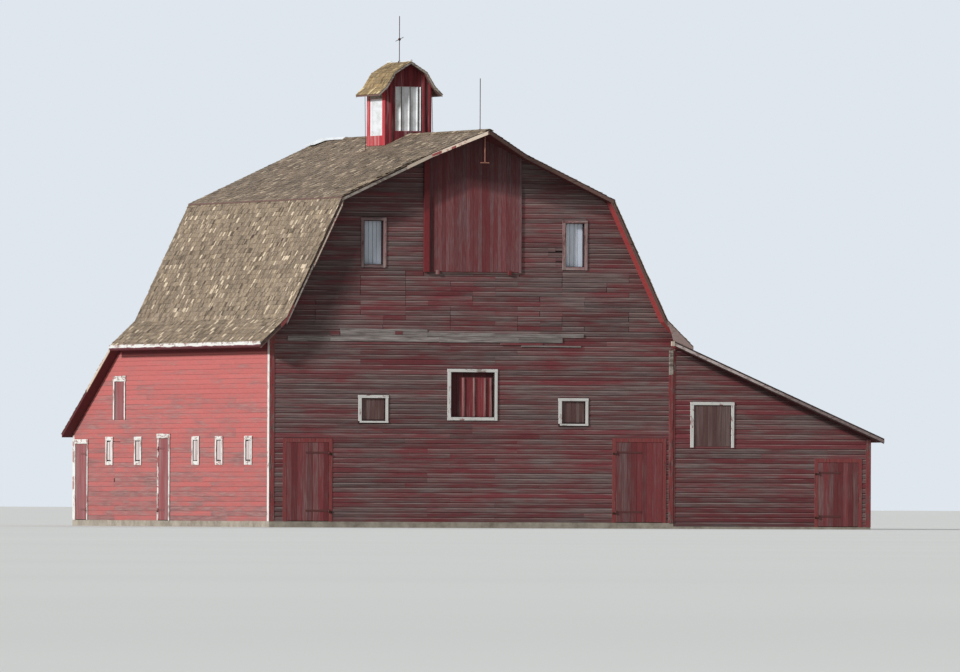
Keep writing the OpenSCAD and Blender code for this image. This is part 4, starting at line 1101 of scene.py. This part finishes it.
def build_window_boards():
    rng = random.Random(62)
    stalls, uppers, shutters, loft, battens, batten_shadows, side = (Piece() for _ in range(7))
    for d in STALL_WINDOWS:
        a, b = edges(d)
        split = d[0] + rng.uniform(-0.03, 0.03)
        for u0, u1 in ((a + 0.06, split - 0.016), (split + 0.018, b - 0.022)):
            upright_boards(stalls, on_left, u0, u1, d[2] + 0.012, d[3] - 0.012, -0.038, 0.02,
                           rng, 0.14, 0.01, 0.4, 0.3, 0.02)
    # the left upper window's boards get the least brightness and the right one's the most:
    # painted shade on the left window's boards
    for d, bright in zip(UPPER_WINDOWS, (0.0, 1.0)):
        first = len(uppers.shades)
        fill_opening(uppers, on_front, d, 0.005, (0.004, 0.004), (-0.093, -0.07), rng, 0.125,
                     0.01, 0.35)
        uppers.shades[first:] = [(bright, *shade[1:]) for shade in uppers.shades[first:]]
    for d in LOW_WINDOWS:
        fill_opening(shutters, on_front, d, 0.005, (0.004, 0.004), (-0.022, -0.004), rng,
                     0.125, 0.005, 0.5, 0.35)
    fill_opening(shutters, on_front, HATCH, 0.004, (0.004, 0.004), (-0.003, 0.015), rng, 0.13,
                 0.004, 0.5, 0.35)
    fill_opening(loft, on_front, LOFT_DOOR, 0.006, (0.006, 0.006), (-0.063, -0.048), rng, 0.16,
                 0.006, 0.25, 0.25)
    low, high = LOFT_DOOR[2] + 0.01, LOFT_DOOR[3] - 0.13
    # pale battens, bare wood and a painted highlight on their lit faces, each with a dark strip
    # on its right: painted shadow
    for u in (edges(LOFT_DOOR)[0] + shift for shift in (0.357, 0.643, 0.94, 1.10)):
        battens.board(on_front, u - 0.023, u + 0.023, low, high, -0.05, -0.022,
                      tint(rng, 0.9, 0.1))
        batten_shadows.board(on_front, u + 0.024, u + 0.055, low, high, -0.05, -0.0455,
                      tint(rng, 0.1, 0.1))
    fill_opening(side, on_left, SIDE_LOFT, 0.006, (0.004, 0.006), (-0.003, 0.012), rng, 0.145)
    stalls.make("stall_window_uprights", "white_boards_z", "trim_white")
    uppers.make("upper_window_uprights", "pale_boards_z", "trim_white")
    shutters.make("shutter_uprights", "brown_boards_z", "shutter_brown")
    loft.make("loft_door_uprights", "loft_door_z", "door_red")
    battens.make("loft_door_battens", "loft_door_z", "door_red")
    batten_shadows.make("loft_door_batten_shadows", "painted_shadow_z", "door_red")
    side.make("side_loft_uprights", "door_rose_z", "door_rose")


# Trims round the openings

def frame_boards(heads, uprights, place, d, rng, inset=-0.002, sill=True):
    """Boards cut by hand and nailed over the trims round an opening; inset is how far
    they stay back from the trims' edges. On the gable the trims left bare are painted
    dark: painted shadow lines."""
    a, b = edges(d)
    back = max(inset, 0.0)

    def slip(size=0.004):
        return rng.uniform(-size, size)

    foot = d[2] - TRIM_W + 0.002 + back if sill else d[2] - back * 2.5
    for u0, u1 in ((a - TRIM_W, a - inset), (b + inset, b + TRIM_W - back)):
        uprights.board(place, u0 + slip(), u1 + slip(), foot + slip(), d[3] + 0.01, TRIM_BASE,
                       TRIM_OUT + slip(0.002), tint(rng))
    heads.board(place, a - TRIM_W - 0.008, b + TRIM_W + 0.006 - back, d[3] + 0.012,
                d[3] + TRIM_W - back + slip(0.006), TRIM_BASE, TRIM_OUT, tint(rng))
    if sill:
        heads.board(place, a + 0.007 - back, b - 0.007 + back, foot, d[2] - 0.008 + slip(),
                    TRIM_BASE, TRIM_OUT, tint(rng))


def build_side_trims():
    """The outer boards of the trims on the left wall."""
    rng = random.Random(63)
    heads, uprights = Piece(), Piece()

    def upright(u0, u1, v0, v1, out=TRIM_OUT):
        uprights.board(on_left, u0, u1, v0, v1, TRIM_BASE, out, tint(rng))

    for d, tall in ((STABLE_MIDDLE, 0.115), (STABLE_REAR, 0.12), (SIDE_LOFT, 0.145)):
        a, b = edges(d)
        middle = rng.uniform(a + 0.2, b - 0.2)
        for u0, u1 in ((a - TRIM_W - 0.03, middle - 0.002), (middle + 0.002, b + TRIM_W + 0.03)):
            heads.board(on_left, u0, u1, d[3] + 0.004, d[3] + tall + rng.uniform(-0.006, 0.006),
                        0.002, TRIM_OUT, tint(rng))
        clear = 0.024 if d == STABLE_REAR else 0.004
        upright(a - TRIM_W, a - clear, d[2], d[3] + 0.002)
        if d == STABLE_MIDDLE:
            z = d[2]
            while z < d[3] - 0.1:
                bit = min(rng.uniform(0.12, 0.5), d[3] - 0.1 - z)
                upright(b + 0.024, b + TRIM_W - 0.01, z, z + bit, TRIM_BASE + 0.009)
                z += bit + rng.uniform(0.06, 0.28)
        else:
            upright(b + 0.004, b + TRIM_W, d[2], d[3] + 0.002)
    for d in STALL_WINDOWS:
        frame_boards(heads, uprights, on_left, d, rng)
    heads.make("side_trim_heads", "white_trim_y", "trim_white")
    uprights.make("side_trim_uprights", "white_trim_z", "trim_white")


def build_gable_trims():
    """The outer boards of the window frames on the gable and the side lean-to."""
    rng = random.Random(76)
    heads, uprights, sills = Piece(), Piece(), Piece()
    frame_boards(heads, uprights, on_front, LOFT_DOOR, rng, 0.012)
    for d in (*LOW_WINDOWS, HATCH):
        frame_boards(heads, uprights, on_front, d, rng, 0.012, False)
    for d in LOW_WINDOWS:
        a, b = edges(d)
        sills.board(on_front, a - 0.06, b + TRIM_W - 0.012, d[2] - 0.076, d[2] - 0.03,
                    TRIM_BASE, TRIM_OUT + 0.004, tint(rng))
    heads.make("gable_trim_heads", "white_trim_x", "trim_white")
    uprights.make("gable_trim_uprights", "white_jambs_z", "trim_white")
    sills.make("low_window_sills", "white_trim_x", "trim_white")
    heads, uprights = Piece(), Piece()
    for d in UPPER_WINDOWS:
        frame_boards(heads, uprights, on_front, d, rng, 0.012)
    heads.make("upper_trim_heads", "worn_trim_x", "door_red")
    uprights.make("upper_trim_uprights", "worn_trim_z", "door_red")


# Boards along the roof's edges

def edge_board(piece, p, q, depth0, depth1, out, shade, face=-1):
    """A board on the end of a roof between p and q, points of its top edge; it lies
    between two depths under the roof's surface and stands out by out."""
    p, q = Vector(p), Vector(q)
    run = math.hypot(q.x - p.x, q.y - p.y)
    drop = math.hypot(run, q.z - p.z) / run
    away = Vector((q.y - p.y, p.x - q.x, 0)).normalized()
    if away.y * face < 0:
        away = -away
    ring = [c - Vector((0, 0, depth * drop))
            for c, depth in ((p, depth0), (q, depth0), (q, depth1), (p, depth1))]
    piece.loft([[c - away * 0.004 for c in ring], [c + away * out for c in ring]], shade)


def edge_boards(rng, *boards):
    """A piece of several such boards: ends, depths, how far out, and face if not -1."""
    piece = Piece()
    for p, q, depth0, depth1, out, *face in boards:
        edge_board(piece, p, q, depth0, depth1, out, tint(rng), *face)
    return piece


def at_front(x, y=ROOF_Y0):
    return (x, y, at_roof(x))


def at_rear(x):
    return at_front(x, ROOF_Y1)


def at_hood(x):
    return (x, hood_y(x), at_roof(x))


def at_side(share, y=ROOF_Y0, more=0.0):
    """A point of the side roof's edge, from its tip at 0 to the gable at 1."""
    head_z = SIDE_TIP[1] + (SIDE_TIP[0] - SIDE_HEAD_X) * SIDE_SLOPE
    return (SIDE_TIP[0] + (SIDE_HEAD_X - SIDE_TIP[0]) * share + more, y,
            SIDE_TIP[1] + (head_z - SIDE_TIP[1]) * share)


def build_edge_boards():
    rng = random.Random(65)
    x_hood, x_break, x_flare, x_eave = HOOD_HALF_W, BREAK[0], FLARE[0], EAVE[0]
    edge_boards(rng, (at_front(-x_break), at_front(-1.95), 0.04, 0.098, 0.014),
                (at_front(-x_flare), at_front(-4.45), 0.05, 0.085, 0.008)
                ).make("rake_boards_grey", "grey_trim", "bare_wood")
    rakes = Piece()
    for k in range(4):
        depths = [middle + rng.uniform(-slack, slack) for middle, slack in
                  ((0.013, 0.002), (0.074, 0.005), (0.024, 0.002))]
        edge_board(rakes, at_side(k / 4, more=-0.002), at_side((k + 1) / 4, more=0.002), *depths,
                   tint(rng))
    rakes.make("side_rake_boards", "pale_trim", "bare_wood")
    # dark strips over and under the side lean-to's rake boards: painted shadow of the shingle
    # ends and under the boards
    edge_boards(rng, (at_side(0), at_side(1), -0.024, 0.011, 0.027),
                (at_side(0), at_side(1), 0.08, 0.1, 0.012)
                ).make("side_rake_shadow_strips", "wall_core", "siding_dark")
    pale = edge_boards(rng, (at_front(-4.45), at_front(-x_break), 0.07, 0.1, 0.012),
                       (at_front(-1.95), at_front(-x_hood), 0.02, 0.1, 0.014),
                       (at_hood(-x_hood), at_hood(-0.03), 0.018, 0.1, 0.012))
    pale.board(wall_y(ROOF_Y0, -1), 5.275, 5.37, 4.665, 4.785, 0.002, 0.036, tint(rng))
    pale.make("rake_boards_cream", "cream_trim", "bare_wood")
    behind = [(at_rear(way * x0), at_rear(way * x1), 0.02, 0.1, 0.01, 1)
              for way in (-1, 1) for x0, x1 in ((0.02, x_break), (x_break, x_flare))]
    edge_boards(rng, (at_hood(0.03), at_hood(x_hood), 0.022, 0.1, 0.012),
                (at_front(x_hood), at_front(x_break), 0.022, 0.1, 0.014),
                (at_front(x_break), at_front(x_flare), 0.03, 0.075, 0.01), *behind
                ).make("rake_boards_brown", "brown_trim", "bare_wood")
    flare = edge_boards(rng, (at_front(x_flare), at_front(x_eave), 0.015, 0.1, 0.014),
                        (at_side(0, ROOF_Y1), at_side(1, ROOF_Y1), 0.02, 0.1, 0.01, 1))
    corners = [(5.17, 5.26), (5.86, 4.60), (5.80, 4.585), (5.345, 4.785), (5.29, 4.99)]
    flare.prism(wall_y(ROOF_Y0, -1), corners, (-0.004, 0.009), tint(rng))
    flare.make("rake_boards_pink", "pink_trim", "bare_wood")
    edge_boards(rng, (at_front(-5.33), at_front(-x_flare), 0.012, 0.095, 0.014),
                (at_front(-x_flare), at_front(-5.0), 0.012, 0.048, 0.014),
                (at_hood(-1.27), at_hood(-1.06), 0.03, 0.09, 0.0135),
                (at_hood(-0.84), at_hood(-0.74), 0.05, 0.1, 0.0135)
                ).make("rake_patches_red", "red_trim", "door_red")


def build_rake_ends():
    """Loose, lifted shingle ends along the front edge of the upper left slope."""
    rng = random.Random(75)
    piece = Piece()
    place = on_slope(RIDGE, BREAK, -1)
    v = 1.62
    while v < 4.0:
        long = rng.uniform(0.09, 0.17)
        tip = ROOF_Y0 - rng.uniform(0.004, 0.022)
        lift = rng.uniform(0.016, 0.05)
        ring = [(v, tip, lift), (v + long, tip, lift + rng.uniform(-0.008, 0.012)),
                (v + long, tip + 0.3, 0.014), (v, tip + 0.3, 0.014)]
        piece.loft([[place(y, s, w + t) for s, y, w in ring] for t in (0.0, 0.01)],
                   tint(rng, 0.35, 0.35))
        v += long + rng.uniform(0.004, 0.12)
    piece.make("rake_shingle_ends", "shingles_y", "shingles")


def build_eave_strip():
    """A thin, wavy white strip over the shingle ends of the left eave."""
    rng = random.Random(64)
    piece = Piece()
    count = 22
    inner, outer = EAVE[0] + 0.004, EAVE[0] + 0.0148
    rings = []
    for k in range(count + 1):
        y = ROOF_Y0 + 0.002 + (ROOF_Y1 - ROOF_Y0 - 0.004) * k / count
        low = EAVE[1] - 0.014 + rng.uniform(-0.006, 0.006)
        high = EAVE[1] + 0.036 + rng.uniform(-0.007, 0.007)
        rings.append([(-x, y, z) for x, z in ((inner, low), (outer, low), (outer, high),
                                              (inner, high))])
    piece.loft(rings, tint(rng))
    piece.make("eave_strip_left", "white_trim_y", "trim_white")


def build_ridge():
    """Ridge boards, strips under the two breaks and the sheet at the ridge's rear end."""
    rng = random.Random(66)
    caps, strips, flashing = Piece(), Piece(), Piece()
    y, end = HOOD_TIP_Y + 0.004, ROOF_Y1 - 1.6
    while y < end:
        shade = tint(rng, 0.5, 0.45)
        if not VENT_Y[0] - 0.2 < y < VENT_Y[1] + 0.02:
            for way in (-1, 1):
                place = on_slope(RIDGE, BREAK, way)
                wide = rng.uniform(0.10, 0.13)
                ring = [(0.0, y, 0.022), (wide, y, 0.022), (wide, y + 0.19, 0.013),
                        (0.0, y + 0.19, 0.013)]
                caps.loft([[place(u, v, w + t) for v, u, w in ring] for t in (0.0, 0.009)],
                          shade)
        y += SHINGLE_EXPOSURE
    span = (ROOF_Y1 - ROOF_Y0) / 4
    for way in (-1, 1):
        for k in range(4):
            start = ROOF_Y0 + span * k
            strips.board(on_slope(BREAK, FLARE, way), start, start + span - 0.006, 0.024, 0.058,
                         0.002, 0.024 + rng.uniform(-0.003, 0.003), tint(rng))
    lift = 0.045
    stations = [(9.20, 0.12, 0.025), (9.85, 0.13, 0.035), (10.30, 0.17, 0.04),
                (10.42, 0.46, 0.055), (10.97, 0.57, 0.07)]
    for way in (-1, 1):
        place = on_slope(RIDGE, BREAK, way)
        rings = []
        for y, wide, edge in stations:
            wide = wide if way < 0 else 0.12
            rings.append([place(y, v, w) for v, w in (
                (0.0, lift), (wide, edge), (wide, edge + 0.006), (0.0, lift + 0.006))])
        flashing.loft(rings, tint(rng))
    caps.make("ridge_shingles", "shingles_y", "shingles")
    strips.make("break_strips", "brown_trim", "bare_wood")
    flashing.make("ridge_sheet", "white_sheet", "metal_white", replaces=("ridge_flashing",))


def build_belt():
    """Unpainted boards nailed over the gable's siding between its two storeys."""
    rng = random.Random(67)
    boards, shadow_strips, scraps = Piece(), Piece(), Piece()
    upper_rows = [(-3.60, -1.245, 4.855, 5.045), (-1.24, 0.605, 4.862, 4.958),
                  (0.61, 3.02, 4.858, 4.948)]
    lower_rows = [(-5.02, -3.88, 4.722, 4.845), (-3.875, -0.92, 4.724, 4.848),
                  (-0.915, 1.25, 4.716, 4.852), (1.255, 2.44, 4.728, 4.85),
                  (1.32, 2.95, 4.615, 4.65)]
    for a, b, low, high in upper_rows + lower_rows:
        count = max(2, int((b - a) / 0.3))
        rings = []
        for k in range(count + 1):
            u = a + (b - a) * k / count
            sag = rng.uniform(-0.006, 0.006)
            out = 0.034 + rng.uniform(-0.004, 0.004)
            rings.append([on_front(u, v, w) for v, w in (
                (low + sag, 0.008), (high + sag * 0.5, 0.008), (high + sag * 0.5, out),
                (low + sag, out))])
        boards.loft(rings, tint(rng, 0.6, 0.35))
    # dark strips under the lower boards: painted shadow
    for a, b, low, high in lower_rows:
        shadow_strips.board(on_front, a + 0.01, b - 0.01, low - 0.018, low - 0.002, 0.012, 0.021,
                   tint(rng))
    for a, b, low, high in ((-2.12, -1.92, 4.90, 4.985), (0.75, 1.9, 4.655, 4.71),
                            (-3.86, -3.62, 4.86, 4.97)):
        scraps.board(on_front, a, b, low, high, 0.012, 0.0375, tint(rng, 0.4))
    boards.make("belt_boards", "grey_boards_x", "bare_wood")
    shadow_strips.make("belt_shadow_strips", "painted_shadow_z", "siding_dark")
    scraps.make("belt_scraps", "siding_dark_x", "siding_dark")


def build_side_corner():
    """Boards over the joint between the gable and the side lean-to, red ones with
    grey ones over them."""
    rng = random.Random(69)
    red_top, grey_foot, grey_top = 3.93, 3.935, 4.56
    for name, material, low, high in (("side_corner_red", "corner_red", FOUNDATION_H, red_top),
                                      ("side_corner_grey", "grey_trim", grey_foot, grey_top)):
        piece = Piece()
        piece.board(on_front, HALF_W - 0.113, HALF_W - 0.001, low, high, 0.02, 0.04, tint(rng))
        piece.make(name, material, "trim_white")


# The roof vent

def vent_top_z(x):
    return at_roof(x, VENT_UNDER) - 0.004


def vent_foot_z(x):
    return at_roof(x) + 0.016


def build_vent_walls(rng, side_walls, end_walls):
    x, (y0, y1) = VENT_X, VENT_Y
    sides, ends, battens, strips = Piece(), Piece(), Piece(), Piece()
    top, foot = vent_top_z(x), vent_foot_z(x)
    corner, post = VENT_CORNER_W, VENT_POST_X
    under_panels, over_panels = 10.19, 11.338
    batten_middles = (-0.49, 0.42, 0.585)
    for wall in side_walls:
        for a, b, high in ((y0 - 0.012, y0 + corner, top), (y1 - corner, y1 + 0.012, top),
                           (y0 + corner, y1 - corner, VENT_SILL_Z)):
            upright_boards(sides, wall, a, b, foot, high, -0.002, 0.014, rng, 0.19, 0.003,
                           0.4, 0.25)
    for wall in side_walls:
        for low, high, out in ((11.03, 11.14, 0.01), (11.145, top, 0.012)):
            strips.board(wall, y0 + corner, y1 - corner, low, high, -0.002, out, tint(rng))
    for wall in end_walls:
        for a, b, low, high in ((-x, -post, vent_foot_z, vent_top_z),
                                (post, x, vent_foot_z, vent_top_z),
                                (-post, 0.0, vent_foot_z, under_panels),
                                (0.0, post, vent_foot_z, under_panels),
                                (-post, 0.0, over_panels, vent_top_z),
                                (0.0, post, over_panels, vent_top_z)):
            upright_boards(ends, wall, a, b, low, high, -0.002, 0.014, rng, 0.14, 0.004,
                           0.45)
        for u in batten_middles:
            outline = edge_outline(u - 0.02, u + 0.02, vent_foot_z, vent_top_z)
            battens.prism(wall, outline, (0.01, 0.045), tint(rng, 0.3))
    sides.make("vent_side_boards", "vent_red_z", "vent_red")
    ends.make("vent_end_boards", "vent_dull_z", "vent_red")
    battens.make("vent_battens", "vent_batten_z", "vent_red")
    strips.make("vent_head_strips", "grey_trim", "bare_wood")


def build_vent():
    rng = random.Random(68)
    ends = (wall_y(VENT_Y[0], -1), wall_y(VENT_Y[1], 1))
    build_vent_walls(rng, (wall_x(-VENT_X, -1), wall_x(VENT_X, 1)), ends)
    folds, shadow_strips, rakes, roll, wires = (Piece() for _ in range(5))
    fold_middles = (-0.212, 0.025, 0.25, 0.335)
    for wall in ends:
        for u in fold_middles:
            ring = [(u - 0.026, -0.0105), (u + 0.006, 0.024), (u + 0.012, -0.0105)]
            folds.loft([[wall(p, v, w) for p, w in ring] for v in VENT_PANEL_Z], tint(rng))
            # dark strips right of the folds: painted shadow
            if u < 0.3:
                shadow_strips.board(wall, u + 0.013, u + 0.045, *VENT_PANEL_Z, -0.011, -0.006, tint(rng))
    for face, y in zip((-1, 1), VENT_ROOF_Y):
        for way in (-1, 1):
            for (xa, za), (xb, zb) in zip(VENT_PROFILE, VENT_PROFILE[1:]):
                edge_board(rakes, (way * (xa + 0.001), y, za), (way * xb, y, zb), 0.008, 0.05,
                           0.01, tint(rng), face)
    front_y, rear_y = VENT_ROOF_Y
    for y0, y1, radius in ((front_y + 0.2, rear_y - 0.25, 0.012),
                           (front_y - 0.03, front_y + 0.22, 0.03),
                           (rear_y - 0.27, rear_y + 0.02, 0.026)):
        z = VENT_PROFILE[0][1] + radius * 0.8
        roll.rod([(0, y0, z), (0, y1, z)], radius, tint(rng), 12)
    for radius, *points in (
            (0.007, (-0.862, 5.56, 11.14), (-0.852, 5.56, 10.4), (-0.842, 5.56, 9.70)),
            (0.007, (0.862, 5.24, 11.14), (0.882, 5.24, 10.3), (0.925, 5.24, 9.66)),
            (0.008, (-0.11, 5.35, 12.52), (0.0, 5.352, 12.57), (0.11, 5.35, 12.63))):
        wires.rod(points, radius, tint(rng), 6)
    folds.make("vent_panel_folds", "white_sheet", "metal_white")
    shadow_strips.make("vent_fold_shadows", "painted_shadow_z", "dark_iron")
    rakes.make("vent_rake_boards", "grey_trim", "bare_wood")
    roll.make("vent_ridge_roll", "white_sheet", "metal_white")
    wires.make("vent_wires", "dark_iron", "dark_iron")


# Ground doors

PIN_OUT = 0.043
EYE_RADIUS = 0.014
EYE_BORE = 0.0082
STRAP_SEAT = 0.0267
STRAP_H = 0.05
STRAP_T = 0.006
STRAP_SHARE = 0.55
STRAP_INSET = 0.26
DOOR_GAP = 0.008
DOOR_FOOT_GAP = 0.015
LEDGE_INSET = 0.03
LEDGE_HALF_H = 0.07


def build_door(name, d, place, sign, material, iron, slot):
    """Upright boards on ledges, with straps; sign is 1 if the hinge is at the low
    edge of the doorway and -1 if it is at the high edge."""
    rng = random.Random(name)
    a, b = edges(d)
    boards, straps = Piece(), Piece()
    foot = d[2] + DOOR_FOOT_GAP
    upright_boards(boards, place, a + DOOR_GAP, b - DOOR_GAP, foot, d[3] - DOOR_GAP, 0.004,
                   TRIM_T, rng, 0.14, 0.004, 0.5, 0.32)
    zs = (foot + STRAP_INSET, d[3] - STRAP_INSET)
    for z in (*zs, (zs[0] + zs[1]) / 2):
        boards.board(place, a + LEDGE_INSET, b - LEDGE_INSET, z - LEDGE_HALF_H,
                     z + LEDGE_HALF_H, 0.0035, -0.015, tint(rng, 0.7))
    pin_u = a if sign > 0 else b
    for z in zs:
        z0 = z - STRAP_SEAT
        z1 = z0 + STRAP_H
        for near, far, w0, w1, bevel in (
                (0.008, d[1] * STRAP_SHARE, TRIM_BASE, TRIM_T + STRAP_T, 0.0015),
                (0.006, 0.022, TRIM_T, PIN_OUT, 0.001)):
            ends = sorted((pin_u + sign * near, pin_u + sign * far))
            straps.board(place, *ends, z0, z1, w0, w1, (0.5, 0.5, 0.5), bevel)
        add_eye(straps, place, pin_u, z0, z1)
    boards.make(name + "_boards", material, slot, name + "_body", (name,))
    straps.make(name + "_straps", iron, "dark_iron", name + "_body")


def add_eye(piece, place, u, z0, z1, sides=24):
    """A short tube round a hinge pin."""
    verts = [place(u + radius * math.cos(t), z, PIN_OUT + radius * math.sin(t))
             for radius, z in ((EYE_RADIUS, z0), (EYE_RADIUS, z1), (EYE_BORE, z1), (EYE_BORE, z0))
             for t in turns(sides)]
    faces = []
    for k in range(4):
        for i in range(sides):
            j = (i + 1) % sides
            n = (k + 1) % 4
            faces.append((k * sides + i, k * sides + j, n * sides + j, n * sides + i))
    a, b, c = (Vector(verts[i]) for i in faces[0][:3])
    outward = Vector(verts[0]) - Vector(place(u, z0, PIN_OUT))
    if (b - a).cross(c - b).dot(outward) < 0:
        faces = [face[::-1] for face in faces]
    piece.add(verts, faces, [(0.5, 0.5, 0.5, 0.0)] * len(faces))


def build_doors():
    for name, d, place, sign, look in (("gable_door_left", GABLE_LEFT, on_front, -1, "red"),
                                       ("gable_door_right", GABLE_RIGHT, on_front, 1, "red"),
                                       ("stable_door_middle", STABLE_MIDDLE, on_left, -1, "rose"),
                                       ("stable_door_rear", STABLE_REAR, on_left, 1, "rose"),
                                       ("leanto_door", LEANTO_DOOR, on_front, 1, "red")):
        iron = "rose_iron" if look == "rose" else "painted_iron"
        build_door(name, d, place, sign, f"door_{look}_z", iron, "door_" + look)


# Camera, light and floor

def build_camera():
    """The photograph's own viewpoint, fitted to points of the building."""
    azimuth, distance, eye_z = math.radians(-21.027), 382.874, 0.565
    yaw, pitch, roll = math.radians(-21.055), math.radians(0.646), math.radians(0.263)
    camera = bpy.data.cameras.new("camera")
    camera.sensor_fit = "HORIZONTAL"
    camera.sensor_width = 36.0
    camera.lens = 564.83
    camera.clip_start = 1.0
    camera.clip_end = 3000.0
    ahead = Vector((-math.sin(yaw) * math.cos(pitch), math.cos(yaw) * math.cos(pitch),
                    math.sin(pitch)))
    right = Vector((math.cos(yaw), math.sin(yaw), 0))
    up = right.cross(ahead)
    tilted_right = right * math.cos(roll) + up * math.sin(roll)
    tilted_up = up * math.cos(roll) - right * math.sin(roll)
    obj = show(bpy.data.objects.new("camera", camera))
    turn = Matrix((tilted_right, tilted_up, -ahead)).transposed()
    eye = (distance * math.sin(azimuth), -distance * math.cos(azimuth), eye_z)
    obj.matrix_world = Matrix.Translation(eye) @ turn.to_4x4()
    bpy.context.scene.camera = obj


def add_sun(name, travel, strength, angle):
    sun = bpy.data.lights.new(name, "SUN")
    sun.energy = strength
    sun.angle = math.radians(angle)
    obj = show(bpy.data.objects.new(name, sun))
    obj.rotation_mode = "QUATERNION"
    obj.rotation_quaternion = Vector(travel).to_track_quat("-Z", "Y")


def build_world():
    """Lights the barn softly, and looks pale where the camera or a gloss sees it."""
    s = Shader("studio", bpy.data.worlds.new("studio"))
    path = s.node("LightPath")
    seen = s.math("MAXIMUM", path.outputs["Is Camera Ray"], path.outputs["Is Glossy Ray"])
    lit = s.node("Background", {"Color": (0.9, 0.95, 1.0, 1.0), "Strength": 0.29})
    shown = s.node("Background", {"Color": rgb("#dfe6ee")})
    both = s.node("MixShader", {0: seen, 1: lit.outputs[0], 2: shown.outputs[0]})
    s.node("OutputWorld", {"Surface": both.outputs[0]})
    bpy.context.scene.world = s.owner


def build_floor():
    s = Shader("pale_floor")
    pale = s.mix(s.noise(0.05, 3.0, 0.5), "#dcdcd8", "#d2d2ce")
    seen = s.node("LightPath").outputs["Is Camera Ray"]
    s.finish(s.mix(seen, "#bcbab4", pale), 0.9)
    radius, sides = 2500.0, 64
    ring = [(radius * math.cos(t), radius * math.sin(t), 0.0) for t in turns(sides)]
    mesh = bpy.data.meshes.new("floor")
    mesh.from_pydata(ring, [], [tuple(range(sides))])
    mesh.materials.append(s.owner)
    floor = show(bpy.data.objects.new("floor", mesh))


def build():
    build_camera()
    add_sun("key", (5.1, 1.6, -2.5), 3.1, 6.0)
    add_sun("fill", (-3.0, -4.0, -2.5), 0.8, 30.0)
    build_world()
    bpy.context.scene.view_settings.view_transform = "Standard"
    build_floor()
    make_board_paints()
    make_other_materials()
    dress_nodes()
    build_siding()
    build_shingles()
    build_vent_shingles()
    build_edge_boards()
    build_ridge()
    build_belt()
    build_side_corner()
    build_vent()
    build_hay_door()
    build_window_boards()
    build_side_trims()
    build_gable_trims()
    build_eave_strip()
    build_rake_ends()
    build_doors()


build()
